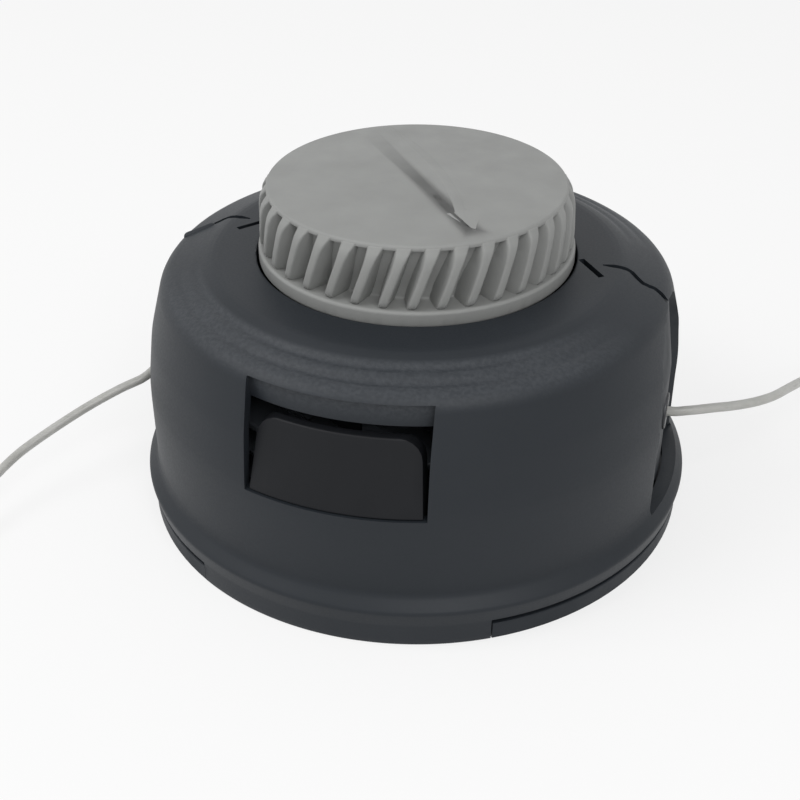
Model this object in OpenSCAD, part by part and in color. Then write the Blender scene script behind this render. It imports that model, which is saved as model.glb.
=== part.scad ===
// Bump-feed line head of a grass trimmer, standing on its rim with the bump knob up.
// The origin is the middle of the rim's underside, +Z points along the knob,
// the front latch faces -Y and the two line eyelets face +X and -X.

/* [Rim and floor] */
// Outer radius of the cap's skirt at the floor, which the other radii of cap and housing follow
skirt_r = 58.4; // [52:0.1:64]
// How far the foot of the housing's rim stands inside the skirt's surface, which its top edge meets
rim_step = 0.1; // [0:0.1:0.8]
// Height of the rim
rim_h = 3.8; // [2.8:0.1:4.2]
// Underside of the floor plate, which is the depth of the gearbox side
floor_z = 5; // [4.4:0.1:6]
// Thickness of the floor plate
floor_t = 2.4; // [1.8:0.1:3]
// Radius of the ring rib under the floor
ring_rib_r = 35; // [28:1:42]
// Thickness of the ribs under the floor
floor_rib_t = 1.8; // [1.2:0.1:2.6]
// Number of ribs under the floor
floor_ribs = 12; // [8:1:16]
// Radius of the round gearbox recess under the floor
recess_r = 17; // [14:0.5:20]
// Thickness of the collar round the gearbox recess
collar_t = 3; // [2:0.1:4]

/* [Barrel and post] */
// Gap between the housing's barrel and the cap's wall at the foot
barrel_gap = 0.6; // [0.5:0.1:1.2]
// Thickness of the barrel wall
barrel_t = 2.4; // [1.8:0.1:3]
// Height of the barrel wall's top edge
barrel_top = 27; // [24:0.5:27.5]
// Radius of the post that the spool turns on
post_r = 12; // [11.5:0.1:14]
// Height of the post's top, where the spring stands
post_top = 38; // [36:0.5:42]
// Radius of the spigot that keeps the spring centred
spigot_r = 6.6; // [5:0.1:7]
// Height of that spigot
spigot_h = 4; // [2:0.5:8]
// Radius of the clear bore above the nut
shaft_bore_r = 5.6; // [5.2:0.1:7]
// Thickness of the post's closed top
post_cap_t = 4; // [3:0.5:6]

/* [Arbor nut] */
// Size of the hexagonal nut across its flats
nut_flats = 16; // [15:0.5:18]
// Height of the nut
nut_h = 12; // [8:0.5:16]
// Radius of the threaded hole, measured to the thread's crests
nut_bore_r = 4.33; // [4:0.01:4.6]

/* [Cap] */
// How far the skirt bulges out
bulge_out = 0.9; // [0.4:0.1:1.6]
// Height of the bulge
bulge_z = 8.4; // [7.6:0.1:9]
// How far the wall stands inside the skirt above the flare
wall_in = 1.4; // [0.8:0.1:1.6]
// Height where the flare meets the wall
flare_z = 11; // [10.4:0.1:12]
// Height where the wall starts to lean in
lean_z = 29.5; // [26:0.5:32]
// How far the wall leans in up to its neck
neck_in = 1.4; // [1:0.1:2]
// Height of the neck
neck_z = 40; // [38:0.5:42]
// How far the brow, where the wall meets the dome, stands inside the neck
brow_in = 3; // [2.3:0.1:3.4]
// Height of the brow
brow_z = 51.4; // [51:0.1:52]
// Width of the sloping shoulder between brow and flat top
shoulder_w = 10.6; // [8:0.2:11]
// Height of the flat top
cap_top = 55.5; // [55:0.1:57]
// Thickness of the wall
cap_wall = 2.4; // [2:0.1:2.6]
// Thickness of the dome
dome_t = 2.6; // [2:0.1:3]
// Half angle of the stretches where the skirt reaches the floor
skirt_angle = 30.3; // [28:0.1:36]
// Height of the slit between rim and skirt
slit_h = 1.2; // [0.6:0.1:1.4]
// Thickness of the tube round the knob
tube_t = 2.5; // [2:0.1:3]

/* [Steps in the dome] */
// Distances of the two grooves from the brow, which leave three steps over each window
step_places = [7.2, 4];
// Depth of the grooves above the window
step_depth = 0.5; // [0.2:0.05:0.8]
// Half width of the grooves above the window
step_half = 1; // [0.6:0.1:1.4]
// Angle from the window at which the grooves run out
step_reach = 68; // [50:2:80]

/* [Windows and latches] */
// Half width of the windows
window_half = 17.7; // [15:0.1:19]
// Height of the window sill
sill_z = 28.4; // [28.2:0.1:30]
// Height of the lintel, where the open window ends
lintel_z = 45.6; // [44:0.1:47]
// Height of the finger recess over the lintel
recess_top = 50.7; // [49.5:0.1:51.2]
// How far the floor of the finger recess stands inside the brow
recess_in = 1.3; // [1:0.1:2]
// Thickness of the lip behind the recess
lip_t = 2.3; // [1.6:0.1:2.6]
// Gap between latch and window at each side of the sill
latch_gap = 0.9; // [0.3:0.1:1.4]
// How far each side of the latch leans in towards its top
latch_taper = 1.3; // [0:0.1:2.5]
// Gap between the top of the latch and the lintel
latch_top_gap = 2.2; // [1:0.1:3]
// How far the latch's top stands inside the wall
latch_lean = 2.5; // [1.5:0.1:3]
// Thickness of the latch
latch_t = 2.2; // [1.6:0.1:2.4]
// Radius of the latch's top corners
latch_corner_r = 4.5; // [2:0.5:6]
// How far the latch's face stands inside the wall at the sill
latch_set = 0.45; // [0.2:0.05:0.8]
// Radius of the foot that the latch turns on
foot_r = 1.2; // [1:0.1:1.5]
// Half length of that foot
foot_half = 6.5; // [5:0.5:7]
// How far the latch can be pressed, in degrees
latch_press = 7; // [6:0.5:8]

/* [Eyelets] */
// Height of the line eyelets
eyelet_z = 25; // [24.5:0.1:25.5]
// Radius of the eyelet's hole
eyelet_bore_r = 1.35; // [1.1:0.05:1.8]
// Radius of the eyelet's sleeve
eyelet_r = 2.6; // [2.2:0.1:3]
// Radius of the eyelet's collar
eyelet_collar_r = 3.9; // [3.4:0.1:4.6]
// Thickness of the eyelet's collar
eyelet_collar_t = 1; // [0.8:0.1:1.4]
// How deep the collar sits in the tower
eyelet_sink = 0.6; // [0.3:0.1:0.8]
// Half width of the arched bay round each eyelet
bay_half = 10.2; // [8:0.1:11]
// Half width of the bay at its splayed foot
bay_foot_half = 14; // [12:0.5:15]
// Height where the bay's foot starts to splay
bay_splay_z = 25; // [20:0.5:28]
// Depth of the bay in the wall, down to the tower's face
bay_depth = 2.8; // [2.4:0.1:3.2]
// Thickness of the tower
tower_t = 3.8; // [3:0.1:4.5]
// Gap between tower and bay
bay_gap = 0.35; // [0.25:0.05:0.6]
// Half width of the shallow channel from the bay over the dome
channel_half = 2.4; // [1.6:0.1:3]
// Depth of that channel
channel_depth = 0.6; // [0.3:0.05:1]
// Height of the bead along the channel's rear edge
bead_h = 0.6; // [0.3:0.05:0.9]
// Width of the slanting slit between channel and knob
cut_w = 0.8; // [0.5:0.1:1.2]

/* [Knob] */
// Radius of the knob's flange
flange_r = 32.5; // [32.2:0.1:33]
// Gap between the flange and the opening in the cap
flange_gap = 0.5; // [0.4:0.05:1]
// Thickness of the flange
flange_t = 1.9; // [1.4:0.1:2.6]
// Gap between the flat top of the cap and the flange
flange_lift = 0.6; // [0.3:0.05:1.5]
// Radius of the knob's top
knob_r = 30.2; // [29:0.1:30.6]
// Height of the knob's top
knob_top = 70.6; // [68:0.1:74]
// Thickness of the knob's top disc
disc_t = 2.9; // [2.2:0.1:3.5]
// Thickness of the disc's rim over the ribs
band_t = 0.6; // [0.5:0.1:1.6]
// Radius of the rounded edge of the top
knob_edge_r = 0.3; // [0.2:0.1:0.5]
// Radius of the wall behind the ribs
core_r = 27; // [26.6:0.1:27.6]
// Thickness of the knob's wall
knob_wall = 2.6; // [2:0.1:2.8]
// Number of ribs round the knob
knob_ribs = 36; // [24:1:40]
// How far a rib leans over its height, in degrees round the knob
rib_lean = 7.8; // [0:0.2:12]
// Direction of the first rib's foot, in degrees from the front latch
rib_phase = 14; // [0:0.5:20]
// Width of a rib at its root
rib_root_w = 2.8; // [2.4:0.1:3.6]
// Width of a rib at its nose
rib_nose_w = 2.2; // [1.4:0.1:2.6]
// Radius that the ribs reach over their feet
rib_foot_r = 32.1; // [31.4:0.1:32.2]
// Radius of the knob's neck inside the cap
neck_tube_r = 28.8; // [28.4:0.1:31]
// Radius of the arc that the arrow follows
arrow_arc_r = 70.2; // [60:0.2:80]
// Width of the arrow's shaft
arrow_w = 2.9; // [2:0.1:4]
// Width of the arrow's head
arrow_head_w = 7.4; // [5:0.1:9]
// Length of the arrow's head
arrow_head_l = 10.8; // [7:0.1:12]
// Depth of the arrow
arrow_depth = 1.3; // [0.6:0.1:1.8]

/* [Spool and ratchet] */
// Gap between the spool's flanges and the barrel
spool_gap = 5.6; // [4.6:0.1:8]
// Radius of the drum that the line is wound on
drum_r = 19; // [17:0.5:22]
// Thickness of the outer flanges
spool_flange_t = 1.6; // [1.2:0.1:2]
// Thickness of the flange between the two windings
divider_t = 1.4; // [1:0.1:1.8]
// Height of each winding's space
space_h = 6.3; // [6.1:0.1:7]
// Running clearance between post and spool
post_fit = 0.06; // [0.03:0.01:0.1]
// Number of ratchet teeth in each ring
teeth = 12; // [12:12:24]
// Height of a ratchet tooth
tooth_h = 2.8; // [2:0.1:3]
// Inner radius of the upper ratchet ring
upper_ring_r = 33.3; // [32.8:0.1:34]
// Inner radius of the lower ratchet ring
lower_ring_r = 21; // [20:0.5:24]
// Radial width of a ratchet ring
ring_w = 5; // [3:0.5:6]
// Share of a tooth pitch that one tooth takes
tooth_share = 0.43; // [0.3:0.01:0.45]
// Share of a tooth that its flat top takes
tooth_flat = 0.35; // [0.2:0.05:0.6]
// How far the knob and the spool travel when bumped
bump_travel = 6; // [4:0.5:7]
// Free gap over and under the ratchet teeth
tooth_gap = 0.2; // [0.15:0.05:0.4]
// Height of the ring on the spool that carries the knob
carrier_h = 6; // [4:0.5:8]
// Number of keys between spool and knob
keys = 4; // [3:1:6]
// Width of a key
key_w = 6; // [4:0.5:8]
// Depth of a key
key_depth = 1.4; // [1:0.1:2]
// Clearance between knob and carrier ring
carrier_fit = 0.1; // [0.05:0.01:0.2]
// Radius of the line notches in the divider
notch_r = 1.5; // [1.2:0.1:2]

/* [Spring and washer] */
// Mean radius of the spring's coils
spring_r = 8.2; // [7.8:0.1:9]
// Radius of the spring wire
wire_r = 0.8; // [0.6:0.1:1]
// Number of working coils
spring_coils = 6; // [4:1:8]
// Thickness of the thrust washer
washer_t = 1.2; // [0.8:0.1:2]
// Outer radius of the thrust washer
washer_r = 11; // [10:0.1:12]
// Hole radius of the thrust washer
washer_hole_r = 6.3; // [6:0.1:7]
// Depth of the knob's boss over the washer
boss_h = 2.1; // [1.5:0.1:3]
// Radius of the pin inside the spring's top
pin_r = 5.9; // [4:0.1:6]
// Length of that pin under the washer
pin_l = 4; // [2:0.5:6]
// Running gap between boss and washer
washer_fit = 0.05; // [0.02:0.01:0.1]

/* [Line] */
// Diameter of the cutting line
line_d = 2; // [1.6:0.1:2]
// How far the windings stay below the spool's edge
winding_in = 6; // [4:0.5:14]

/* [Hidden] */
$fn = 96;
FAR = 200;
EPS = 0.01;

// Middle line of the free line from the right eyelet, as steps from the tower's face at the eyelet
ROUTE_RIGHT = [[-4.4, 0, 0], [-1.2, 0, 0], [1.8, 0, 0.1], [4.3, 0.6, 0.4], [6.8, 1.8, 0.4],
               [9.8, 3.7, 0.2], [12.8, 5.8, -0.2], [15.8, 8.2, -0.6], [18.8, 11.2, -1.1], [21.8, 15, -1.6],
               [25.2, 21.2, -2.5], [28.1, 27.6, -4.1], [30.7, 34.4, -6.4], [32.9, 41.2, -9.2],
               [34.8, 48, -12.3], [36.5, 55, -15.4], [38, 62, -18.3], [39.2, 69, -20.8],
               [40.2, 75.5, -22.6], [40.9, 82, -23.7], [41.3, 87, -24]];
// Middle line of the free line from the left eyelet
ROUTE_LEFT = [[4.4, 0, 0], [1.2, 0, 0], [-1.1, -0.1, -0.1], [-3.1, -2.2, -1.8], [-4.7, -6.2, -4.2],
              [-6.7, -10.4, -6], [-10.9, -14.2, -7.5], [-15.8, -19.4, -9.5], [-20.2, -25.4, -11.5],
              [-24.2, -31.8, -13.5], [-26.3, -36.4, -14.8], [-28.2, -43, -16.8], [-28.8, -50, -19],
              [-28, -57, -21], [-25.6, -63.5, -22.6], [-21.8, -69.4, -23.6], [-17, -74.6, -24]];

// Places that follow from the sizes above
rim_r = skirt_r - rim_step;
bulge_r = skirt_r + bulge_out;
wall_r = skirt_r - wall_in;
neck_r = wall_r - neck_in;
brow_r = neck_r - brow_in;
dome_r = brow_r - shoulder_w;
barrel_r = wall_r - cap_wall - barrel_gap;
tower_r = wall_r - bay_depth;
recess_floor_r = brow_r - recess_in;
spool_r = barrel_r - barrel_t - spool_gap;
winding_r = spool_r - winding_in;
floor_top = floor_z + floor_t;
spool_z = floor_top + tooth_h + tooth_gap + bump_travel;
lower_space_z = spool_z + spool_flange_t;
divider_z = lower_space_z + space_h;
upper_space_z = divider_z + divider_t;
spool_top = upper_space_z + space_h + spool_flange_t;
opening_r = flange_r + flange_gap;
tube_bottom = spool_top + tooth_h + tooth_gap + 0.1;
flange_z = cap_top + flange_lift;
rib_z = flange_z + flange_t;
disc_z = knob_top - disc_t;
washer_z = disc_z - boss_h - washer_fit - washer_t;
rim_inset_r = skirt_r - cap_wall - 0.4;
foot_radius_place = barrel_r - barrel_t / 2 - 0.5;
foot_z = floor_top + foot_r;
latch_top = lintel_z - latch_top_gap;
sill_r = wall_at(sill_z);
latch_in_r = barrel_r - barrel_t - 0.4;
arch_top = brow_z - 0.4;
bead_r = 0.8;

// Radius of the cap's outer wall at a height between flare and brow
function wall_at(z) = z < lean_z ? wall_r
    : z < neck_z ? wall_r + (neck_r - wall_r) * (z - lean_z) / (neck_z - lean_z)
    : neck_r + (brow_r - neck_r) * (z - neck_z) / (brow_z - neck_z);

// Height of the dome at a radius
function dome_at(r) = r < dome_r ? cap_top : cap_top - (cap_top - brow_z) * (r - dome_r) / (brow_r - dome_r);
dome_slope = atan2(cap_top - brow_z, brow_r - dome_r);

function unit(v) = v / norm(v);

// One corner of an outline as an arc of radius r from the side a-b to the side b-c
function corner(a, b, c, r, n) = r <= 0 ? [b] :
    let (u = unit(a - b), w = unit(c - b), half = acos(u * w) / 2, t = r / tan(half),
         p = b + u * t, q = b + w * t, m = b + unit(u + w) * r / sin(half),
         a0 = atan2(p.y - m.y, p.x - m.x), a1 = atan2(q.y - m.y, q.x - m.x),
         d = (a1 - a0 + 540) % 360 - 180)
    [for (i = [0:n]) m + r * [cos(a0 + d * i / n), sin(a0 + d * i / n)]];

// An outline from corners given as [x, y, radius]
function rounded(pts, n = 5) = let (m = len(pts))
    [for (i = [0:m - 1]) let (a = pts[(i + m - 1) % m], b = pts[i], c = pts[(i + 1) % m])
        each corner([a.x, a.y], [b.x, b.y], [c.x, c.y], len(b) > 2 ? b[2] : 0, n)];

// A body turned from an outline of [radius, height, corner radius]
module turned(pts, n = 5) {
    rotate_extrude() polygon(rounded(pts, n));
}

module ring(r_in, r_out, z0, z1) {
    translate([0, 0, z0]) difference() {
        cylinder(r = r_out, h = z1 - z0);
        translate([0, 0, -1]) cylinder(r = r_in, h = z1 - z0 + 2);
    }
}

// A wedge of space round the axis, from angle a0 to a1 in degrees from the front latch
module wedge(a0, a1, z0, z1) {
    n = 8;
    translate([0, 0, z0]) linear_extrude(z1 - z0)
        polygon(concat([[0, 0]], [for (i = [0:n]) let (a = a0 + (a1 - a0) * i / n) FAR * [sin(a), -cos(a)]]));
}

module front_and_rear() {
    children();
    rotate([0, 0, 180]) children();
}

// An outline in the plane of a bay, pushed out along +X from x0 to x1
module along_x(x0, x1) {
    translate([x0, 0, 0]) rotate([90, 0, 90]) linear_extrude(x1 - x0) children();
}

// An outline in the plane of a window, pushed along -Y from y0 to y1
module along_y(y0, y1) {
    translate([0, -y0, 0]) rotate([90, 0, 0]) linear_extrude(y1 - y0) children();
}

// The arch of a bay, narrowed by a gap
module arch(gap) {
    w = bay_half - gap;
    polygon(concat([[-(bay_foot_half - gap), flare_z - 1], [bay_foot_half - gap, flare_z - 1], [w, bay_splay_z]],
        [for (i = [0:16]) let (a = i * 180 / 16) [w * cos(a), arch_top - bay_half + w * sin(a)]],
        [[-w, bay_splay_z]]));
}

// A ring of saw teeth that stand on z = 0, turned by the given angle
module saw_teeth(r_in, turn) {
    pitch = 360 / teeth;
    mid_r = r_in + ring_w / 2;
    l = 2 * PI * mid_r / teeth * tooth_share;
    intersection() {
        ring(r_in, r_in + ring_w, -1, tooth_h + 1);
        for (i = [0:teeth - 1]) rotate([0, 0, turn + i * pitch]) along_x(r_in - 2, r_in + ring_w + 3)
            polygon([[tooth_gap, 0], [l, 0], [l * tooth_flat, tooth_h], [tooth_gap, tooth_h]]);
    }
}

module base_housing() {
    hub_r = recess_r + collar_t;
    hex_r = (nut_flats / 2 + 0.05) / cos(30);
    color([0.17, 0.18, 0.19]) difference() {
        union() {
            turned([[0, floor_z], [barrel_r - barrel_t, floor_z], [barrel_r - barrel_t, 0, 0.4],
                    [rim_inset_r, 0, 0.4], [rim_inset_r, rim_h, 0.3], [barrel_r, rim_h + 1.6, 0.4],
                    [barrel_r, barrel_top, 0.8], [barrel_r - barrel_t, barrel_top, 0.8],
                    [barrel_r - barrel_t, floor_top, 1], [post_r, floor_top, 1], [post_r, post_top, 0.6],
                    [spigot_r, post_top], [spigot_r, post_top + spigot_h, 0.8], [0, post_top + spigot_h]]);
            difference() {
                turned([[rim_inset_r - 1, 0], [rim_r, 0, 0.3], [skirt_r, rim_h, 0.25], [rim_inset_r - 1, rim_h]]);
                front_and_rear() wedge(-skirt_angle - 0.3, skirt_angle + 0.3, -1, rim_h + 1);
            }
            ring(recess_r, hub_r, 0.6, floor_z + 1);
            ring(ring_rib_r, ring_rib_r + floor_rib_t, 1.2, floor_z + 1);
            for (i = [0:floor_ribs - 1]) rotate([0, 0, (i + 0.5) * 360 / floor_ribs])
                translate([hub_r - 1, -floor_rib_t / 2, 1.2])
                    cube([barrel_r - barrel_t / 2 - hub_r + 1, floor_rib_t, floor_z - 0.2]);
            translate([0, 0, floor_top - EPS]) saw_teeth(lower_ring_r, 180 / teeth);
            front_and_rear() tower();
            front_and_rear() foot_block();
        }
        front_and_rear() latch_pocket();
        front_and_rear() translate([tower_r - tower_t - 6, 0, eyelet_z]) rotate([0, 90, 0])
            cylinder(r = eyelet_r + 0.05, h = tower_t + 12);
        front_and_rear() translate([tower_r - eyelet_sink, 0, eyelet_z]) rotate([0, 90, 0])
            cylinder(r = eyelet_collar_r + 0.05, h = 6);
        translate([0, 0, floor_z - 1]) cylinder(r = hex_r, h = nut_h + 1.1, $fn = 6);
        translate([0, 0, floor_z - 1]) cylinder(r = shaft_bore_r, h = post_top - post_cap_t - floor_z + 1);
    }
}

// The thick stretch of barrel that carries an eyelet and fills its bay
module tower() {
    inner_r = tower_r - tower_t;
    intersection() {
        turned([[inner_r, floor_top - 1], [tower_r, floor_top - 1], [tower_r, neck_z - 6, 6],
                [brow_r - 0.6, brow_z - 2, 1], [inner_r, brow_z - 1]]);
        along_x(inner_r - 8, FAR) arch(bay_gap);
    }
}

// The block that carries the foot of a latch
module foot_block() {
    translate([-foot_half - 1.2, -foot_radius_place - 2.2, floor_top - 1])
        cube([2 * foot_half + 2.4, 4.2, foot_z - floor_top + 1]);
}

// The gap in the barrel wall that a latch stands in, and the trough that its foot turns in
module latch_pocket() {
    w = window_half - latch_taper + 0.5;
    translate([-w, -barrel_r - 1, foot_z]) cube([2 * w, barrel_t + 6, barrel_top]);
    translate([-foot_half - 0.3, -foot_radius_place, foot_z]) rotate([0, 90, 0])
        cylinder(r = foot_r + 0.06, h = 2 * foot_half + 0.6);
}

module cap_outline() {
    polygon(rounded([[opening_r, cap_top, 0.5], [dome_r, cap_top, 6], [brow_r, brow_z, 4.5],
        [neck_r, neck_z, 24], [wall_r, lean_z, 40], [wall_r, flare_z, 2.4], [bulge_r, bulge_z, 1],
        [skirt_r, 0, 0.3], [skirt_r - cap_wall, 0, 0.3], [bulge_r - cap_wall - 0.6, bulge_z - 1.2, 1],
        [wall_r - cap_wall, flare_z - 1, 1], [wall_r - cap_wall, lean_z], [neck_r - cap_wall, neck_z],
        [brow_r - cap_wall, brow_z - dome_t, 1], [dome_r - 1, cap_top - dome_t, 4],
        [opening_r + tube_t, cap_top - dome_t, 1], [opening_r + tube_t, tube_bottom + 2],
        [upper_ring_r + ring_w, tube_bottom + 2, 0.6], [upper_ring_r + ring_w, tube_bottom],
        [opening_r, tube_bottom]]));
}

// A ring groove with a V section, tilted so that it is deepest over the front window and runs out beside it
module step_groove(r) {
    tilt = atan2(step_depth, r * (1 - cos(step_reach)));
    translate([0, 0, dome_at(r) - step_depth + r * tan(tilt)]) rotate([tilt, 0, 0]) rotate_extrude()
        translate([r, 0]) rotate(-dome_slope)
            polygon([[0, 0], [3 * step_half, 3 * step_depth], [-3 * step_half, 3 * step_depth]]);
}

module cap() {
    color([0.22, 0.235, 0.25]) difference() {
        union() {
            rotate_extrude() cap_outline();
            front_and_rear() window_lip();
            translate([0, 0, tube_bottom + EPS]) mirror([0, 0, 1]) mirror([0, 1, 0])
                saw_teeth(upper_ring_r, 0);
            dome_bead();
            mirror([1, 0, 0]) dome_bead();
        }
        front_and_rear() window();
        front_and_rear() for (p = step_places) step_groove(brow_r - p);
        bay_cut();
        mirror([1, 0, 0]) bay_cut();
        intersection() {
            ring(barrel_r, FAR, -1, rim_h + slit_h);
            union() {
                wedge(skirt_angle, 180 - skirt_angle, -2, rim_h + 2);
                wedge(180 + skirt_angle, 360 - skirt_angle, -2, rim_h + 2);
            }
        }
    }
}

// The open window, and the finger recess over it
module window() {
    along_y(barrel_r - 10, FAR)
        polygon([[-window_half, sill_z], [window_half, sill_z], [window_half, lintel_z], [-window_half, lintel_z]]);
    intersection() {
        ring(recess_floor_r, FAR, lintel_z - EPS, recess_top);
        translate([-window_half, -FAR, 0]) cube([2 * window_half, FAR, FAR]);
    }
    translate([0, -sill_r - 0.25, sill_z + 0.25]) rotate([45, 0, 0])
        cube([2 * window_half, 1.1, 1.1], center = true);
}

// The wall behind the finger recess
module window_lip() {
    intersection() {
        ring(recess_floor_r - lip_t, recess_floor_r + 0.8, lintel_z, dome_at(recess_floor_r) - 1.2);
        translate([-window_half - 2, -FAR, 0]) cube([2 * window_half + 4, FAR, FAR]);
    }
}

// The bead along the rear edge of the channel over the dome
module dome_bead() {
    r0 = dome_r + 2.5;
    r1 = brow_r - 1.4;
    l = (r1 - r0) / cos(dome_slope);
    translate([r0, channel_half + bead_r, dome_at(r0) + bead_h - bead_r]) rotate([0, 90 + dome_slope, 0]) {
        cylinder(r = bead_r, h = l, $fn = 24);
        sphere(r = bead_r, $fn = 24);
        translate([0, 0, l]) sphere(r = bead_r, $fn = 24);
    }
}

// The arched bay round an eyelet, the channel over the dome and the slanting slit
module bay_cut() {
    start_r = opening_r + 6.3;
    along_x(tower_r - tower_t - 0.6, FAR) arch(0);
    translate([0, 0, -channel_depth]) intersection() {
        turned([[start_r, cap_top], [dome_r, cap_top, 2], [brow_r + 1, dome_at(brow_r + 1)],
                [brow_r + 1, cap_top + 6], [start_r, cap_top + 6]]);
        translate([start_r - 1, -channel_half, 0]) cube([FAR, 2 * channel_half, FAR]);
    }
    translate([opening_r + 3.7, -0.4, cap_top - 1.4]) rotate([0, 0, -48])
        translate([-4, -cut_w / 2, 0]) cube([8, cut_w, 3]);
}

// The tongue that holds the cap on, pressed in at its pad
module latch() {
    pad_half = window_half - latch_gap;
    finger_half = window_half - latch_taper - 0.3;
    stand_r = barrel_r - 0.6;
    color([0.14, 0.15, 0.16]) {
        intersection() {
            turned([[latch_in_r, foot_z + 2], [stand_r, foot_z + 2], [stand_r, sill_z + 0.2],
                    [sill_r - latch_set, sill_z + 0.2, 0.2], [wall_at(latch_top) - latch_lean, latch_top, 0.5],
                    [wall_at(latch_top) - latch_lean - latch_t, latch_top, 0.5],
                    [latch_in_r, sill_z + 8, 2]]);
            along_y(barrel_r - 12, FAR) polygon(rounded([[-finger_half, foot_z + 2, 2], [finger_half, foot_z + 2, 2],
                [finger_half, sill_z], [pad_half, sill_z + 0.1], [pad_half - latch_taper, latch_top, latch_corner_r],
                [latch_taper - pad_half, latch_top, latch_corner_r], [-pad_half, sill_z + 0.1],
                [-finger_half, sill_z]]));
        }
        translate([-foot_half, -foot_radius_place - latch_t / 2, foot_z])
            cube([2 * foot_half, latch_t, 5]);
        translate([-foot_half, -foot_radius_place, foot_z]) rotate([0, 90, 0])
            cylinder(r = foot_r, h = 2 * foot_half);
    }
}

module latch_front() {
    latch();
}

module latch_rear() {
    rotate([0, 0, 180]) latch();
}

module eyelet() {
    seat_x = tower_r - eyelet_sink;
    color([0.72, 0.73, 0.75]) translate([seat_x, 0, eyelet_z]) rotate([0, 90, 0])
        turned([[eyelet_bore_r, -tower_t - 0.9, 0.5], [eyelet_r, -tower_t - 0.9, 0.3], [eyelet_r, 0],
                [eyelet_collar_r, 0, 0.2], [eyelet_collar_r, eyelet_collar_t, 0.4],
                [eyelet_bore_r, eyelet_collar_t, 0.7]]);
}

module eyelet_right() {
    eyelet();
}

module eyelet_left() {
    rotate([0, 0, 180]) eyelet();
}

module arbor_nut() {
    chamfer = 0.8;
    color([0.6, 0.6, 0.62]) translate([0, 0, floor_z]) difference() {
        intersection() {
            cylinder(r = nut_flats / 2 / cos(30), h = nut_h, $fn = 6);
            turned([[0, 0], [nut_flats / 2 + 0.3, 0], [nut_flats / 2 / cos(30), chamfer],
                    [nut_flats / 2 / cos(30), nut_h - chamfer], [nut_flats / 2 + 0.3, nut_h], [0, nut_h]]);
        }
        translate([0, 0, -1]) cylinder(r = nut_bore_r, h = nut_h + 2);
        translate([0, 0, -EPS]) cylinder(r1 = nut_bore_r + 1, r2 = nut_bore_r, h = 1);
    }
}

module spool() {
    bore_r = post_r + post_fit;
    carrier_r = core_r - carrier_fit - knob_wall + 2.4;
    color([0.1, 0.1, 0.11]) difference() {
        union() {
            turned([[bore_r, spool_z - 2.4, 0.4], [bore_r + 4, spool_z - 2.4, 0.4], [bore_r + 4, spool_z],
                    [spool_r, spool_z, 0.5], [spool_r, lower_space_z, 0.5], [drum_r, lower_space_z, 0.2],
                    [drum_r, divider_z, 0.2], [spool_r - 1, divider_z, 0.4],
                    [spool_r - 1, upper_space_z, 0.4], [drum_r, upper_space_z, 0.2],
                    [drum_r, upper_space_z + space_h, 0.2], [spool_r, upper_space_z + space_h, 0.5],
                    [spool_r, spool_top, 0.5], [bore_r + 4, spool_top], [bore_r + 4, post_top - 1, 0.4],
                    [bore_r, post_top - 1, 0.4]]);
            ring(carrier_r - 2.4, carrier_r, spool_top - EPS, spool_top + carrier_h);
            for (i = [0:keys - 1]) rotate([0, 0, i * 360 / keys])
                translate([carrier_r - 1, -key_w / 2, spool_top - EPS]) cube([1 + key_depth, key_w, carrier_h]);
            translate([0, 0, spool_top - EPS]) saw_teeth(upper_ring_r, 0);
            translate([0, 0, spool_z + EPS]) mirror([0, 0, 1]) mirror([0, 1, 0]) saw_teeth(lower_ring_r, 180 / teeth);
        }
        for (i = [0:3]) rotate([0, 0, 45 + i * 90]) translate([spool_r - 1.6, 0, divider_z - 0.5])
            cylinder(r = notch_r, h = divider_t + 1, $fn = 24);
        for (a = [0, 180], z = [lower_space_z, upper_space_z]) rotate([0, 0, a + 90])
            translate([bore_r + 1, 0, z + space_h / 2]) rotate([0, 90, 0])
                cylinder(r = line_d / 2 + 0.3, h = drum_r, $fn = 24);
    }
}

// One rib of the knob, a bar with a wedge section that leans along the wall
module knob_rib() {
    h = knob_top - band_t - rib_z;
    slope = atan2(knob_r * rib_lean * PI / 180, h);
    tip = rib_foot_r + 1;
    nose = rib_nose_w / 2 * cos(slope);
    root = rib_root_w / 2 * cos(slope);
    translate([0, 0, rib_z - EPS]) rotate([-slope, 0, 0]) translate([0, 0, -3]) linear_extrude(h / cos(slope) + 7)
        polygon([[core_r - 1, -root], [rib_foot_r, -nose], [tip, -nose], [tip, nose], [rib_foot_r, nose],
                 [core_r - 1, root]]);
}

// The arrow on top, a shaft along an arc with a barbed head
module arrow() {
    centre = [-55.1, -31.9];
    a0 = 18;
    a1 = 62;
    n = 16;
    tail = centre + arrow_arc_r * [cos(a0), sin(a0)];
    translate([0, 0, knob_top - arrow_depth]) linear_extrude(arrow_depth + 1) {
        polygon(concat([for (i = [0:n]) let (a = a0 + (a1 - a0) * i / n)
                    centre + (arrow_arc_r + arrow_w / 2) * [cos(a), sin(a)]],
            [for (i = [n:-1:0]) let (a = a0 + (a1 - a0) * i / n)
                    centre + (arrow_arc_r - arrow_w / 2) * [cos(a), sin(a)]]));
        translate(tail) rotate(a0 - 90 + 11)
            polygon([[0.6, -arrow_head_w / 2], [0.6, arrow_head_w / 2], [arrow_head_l, 0]]);
    }
}

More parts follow.
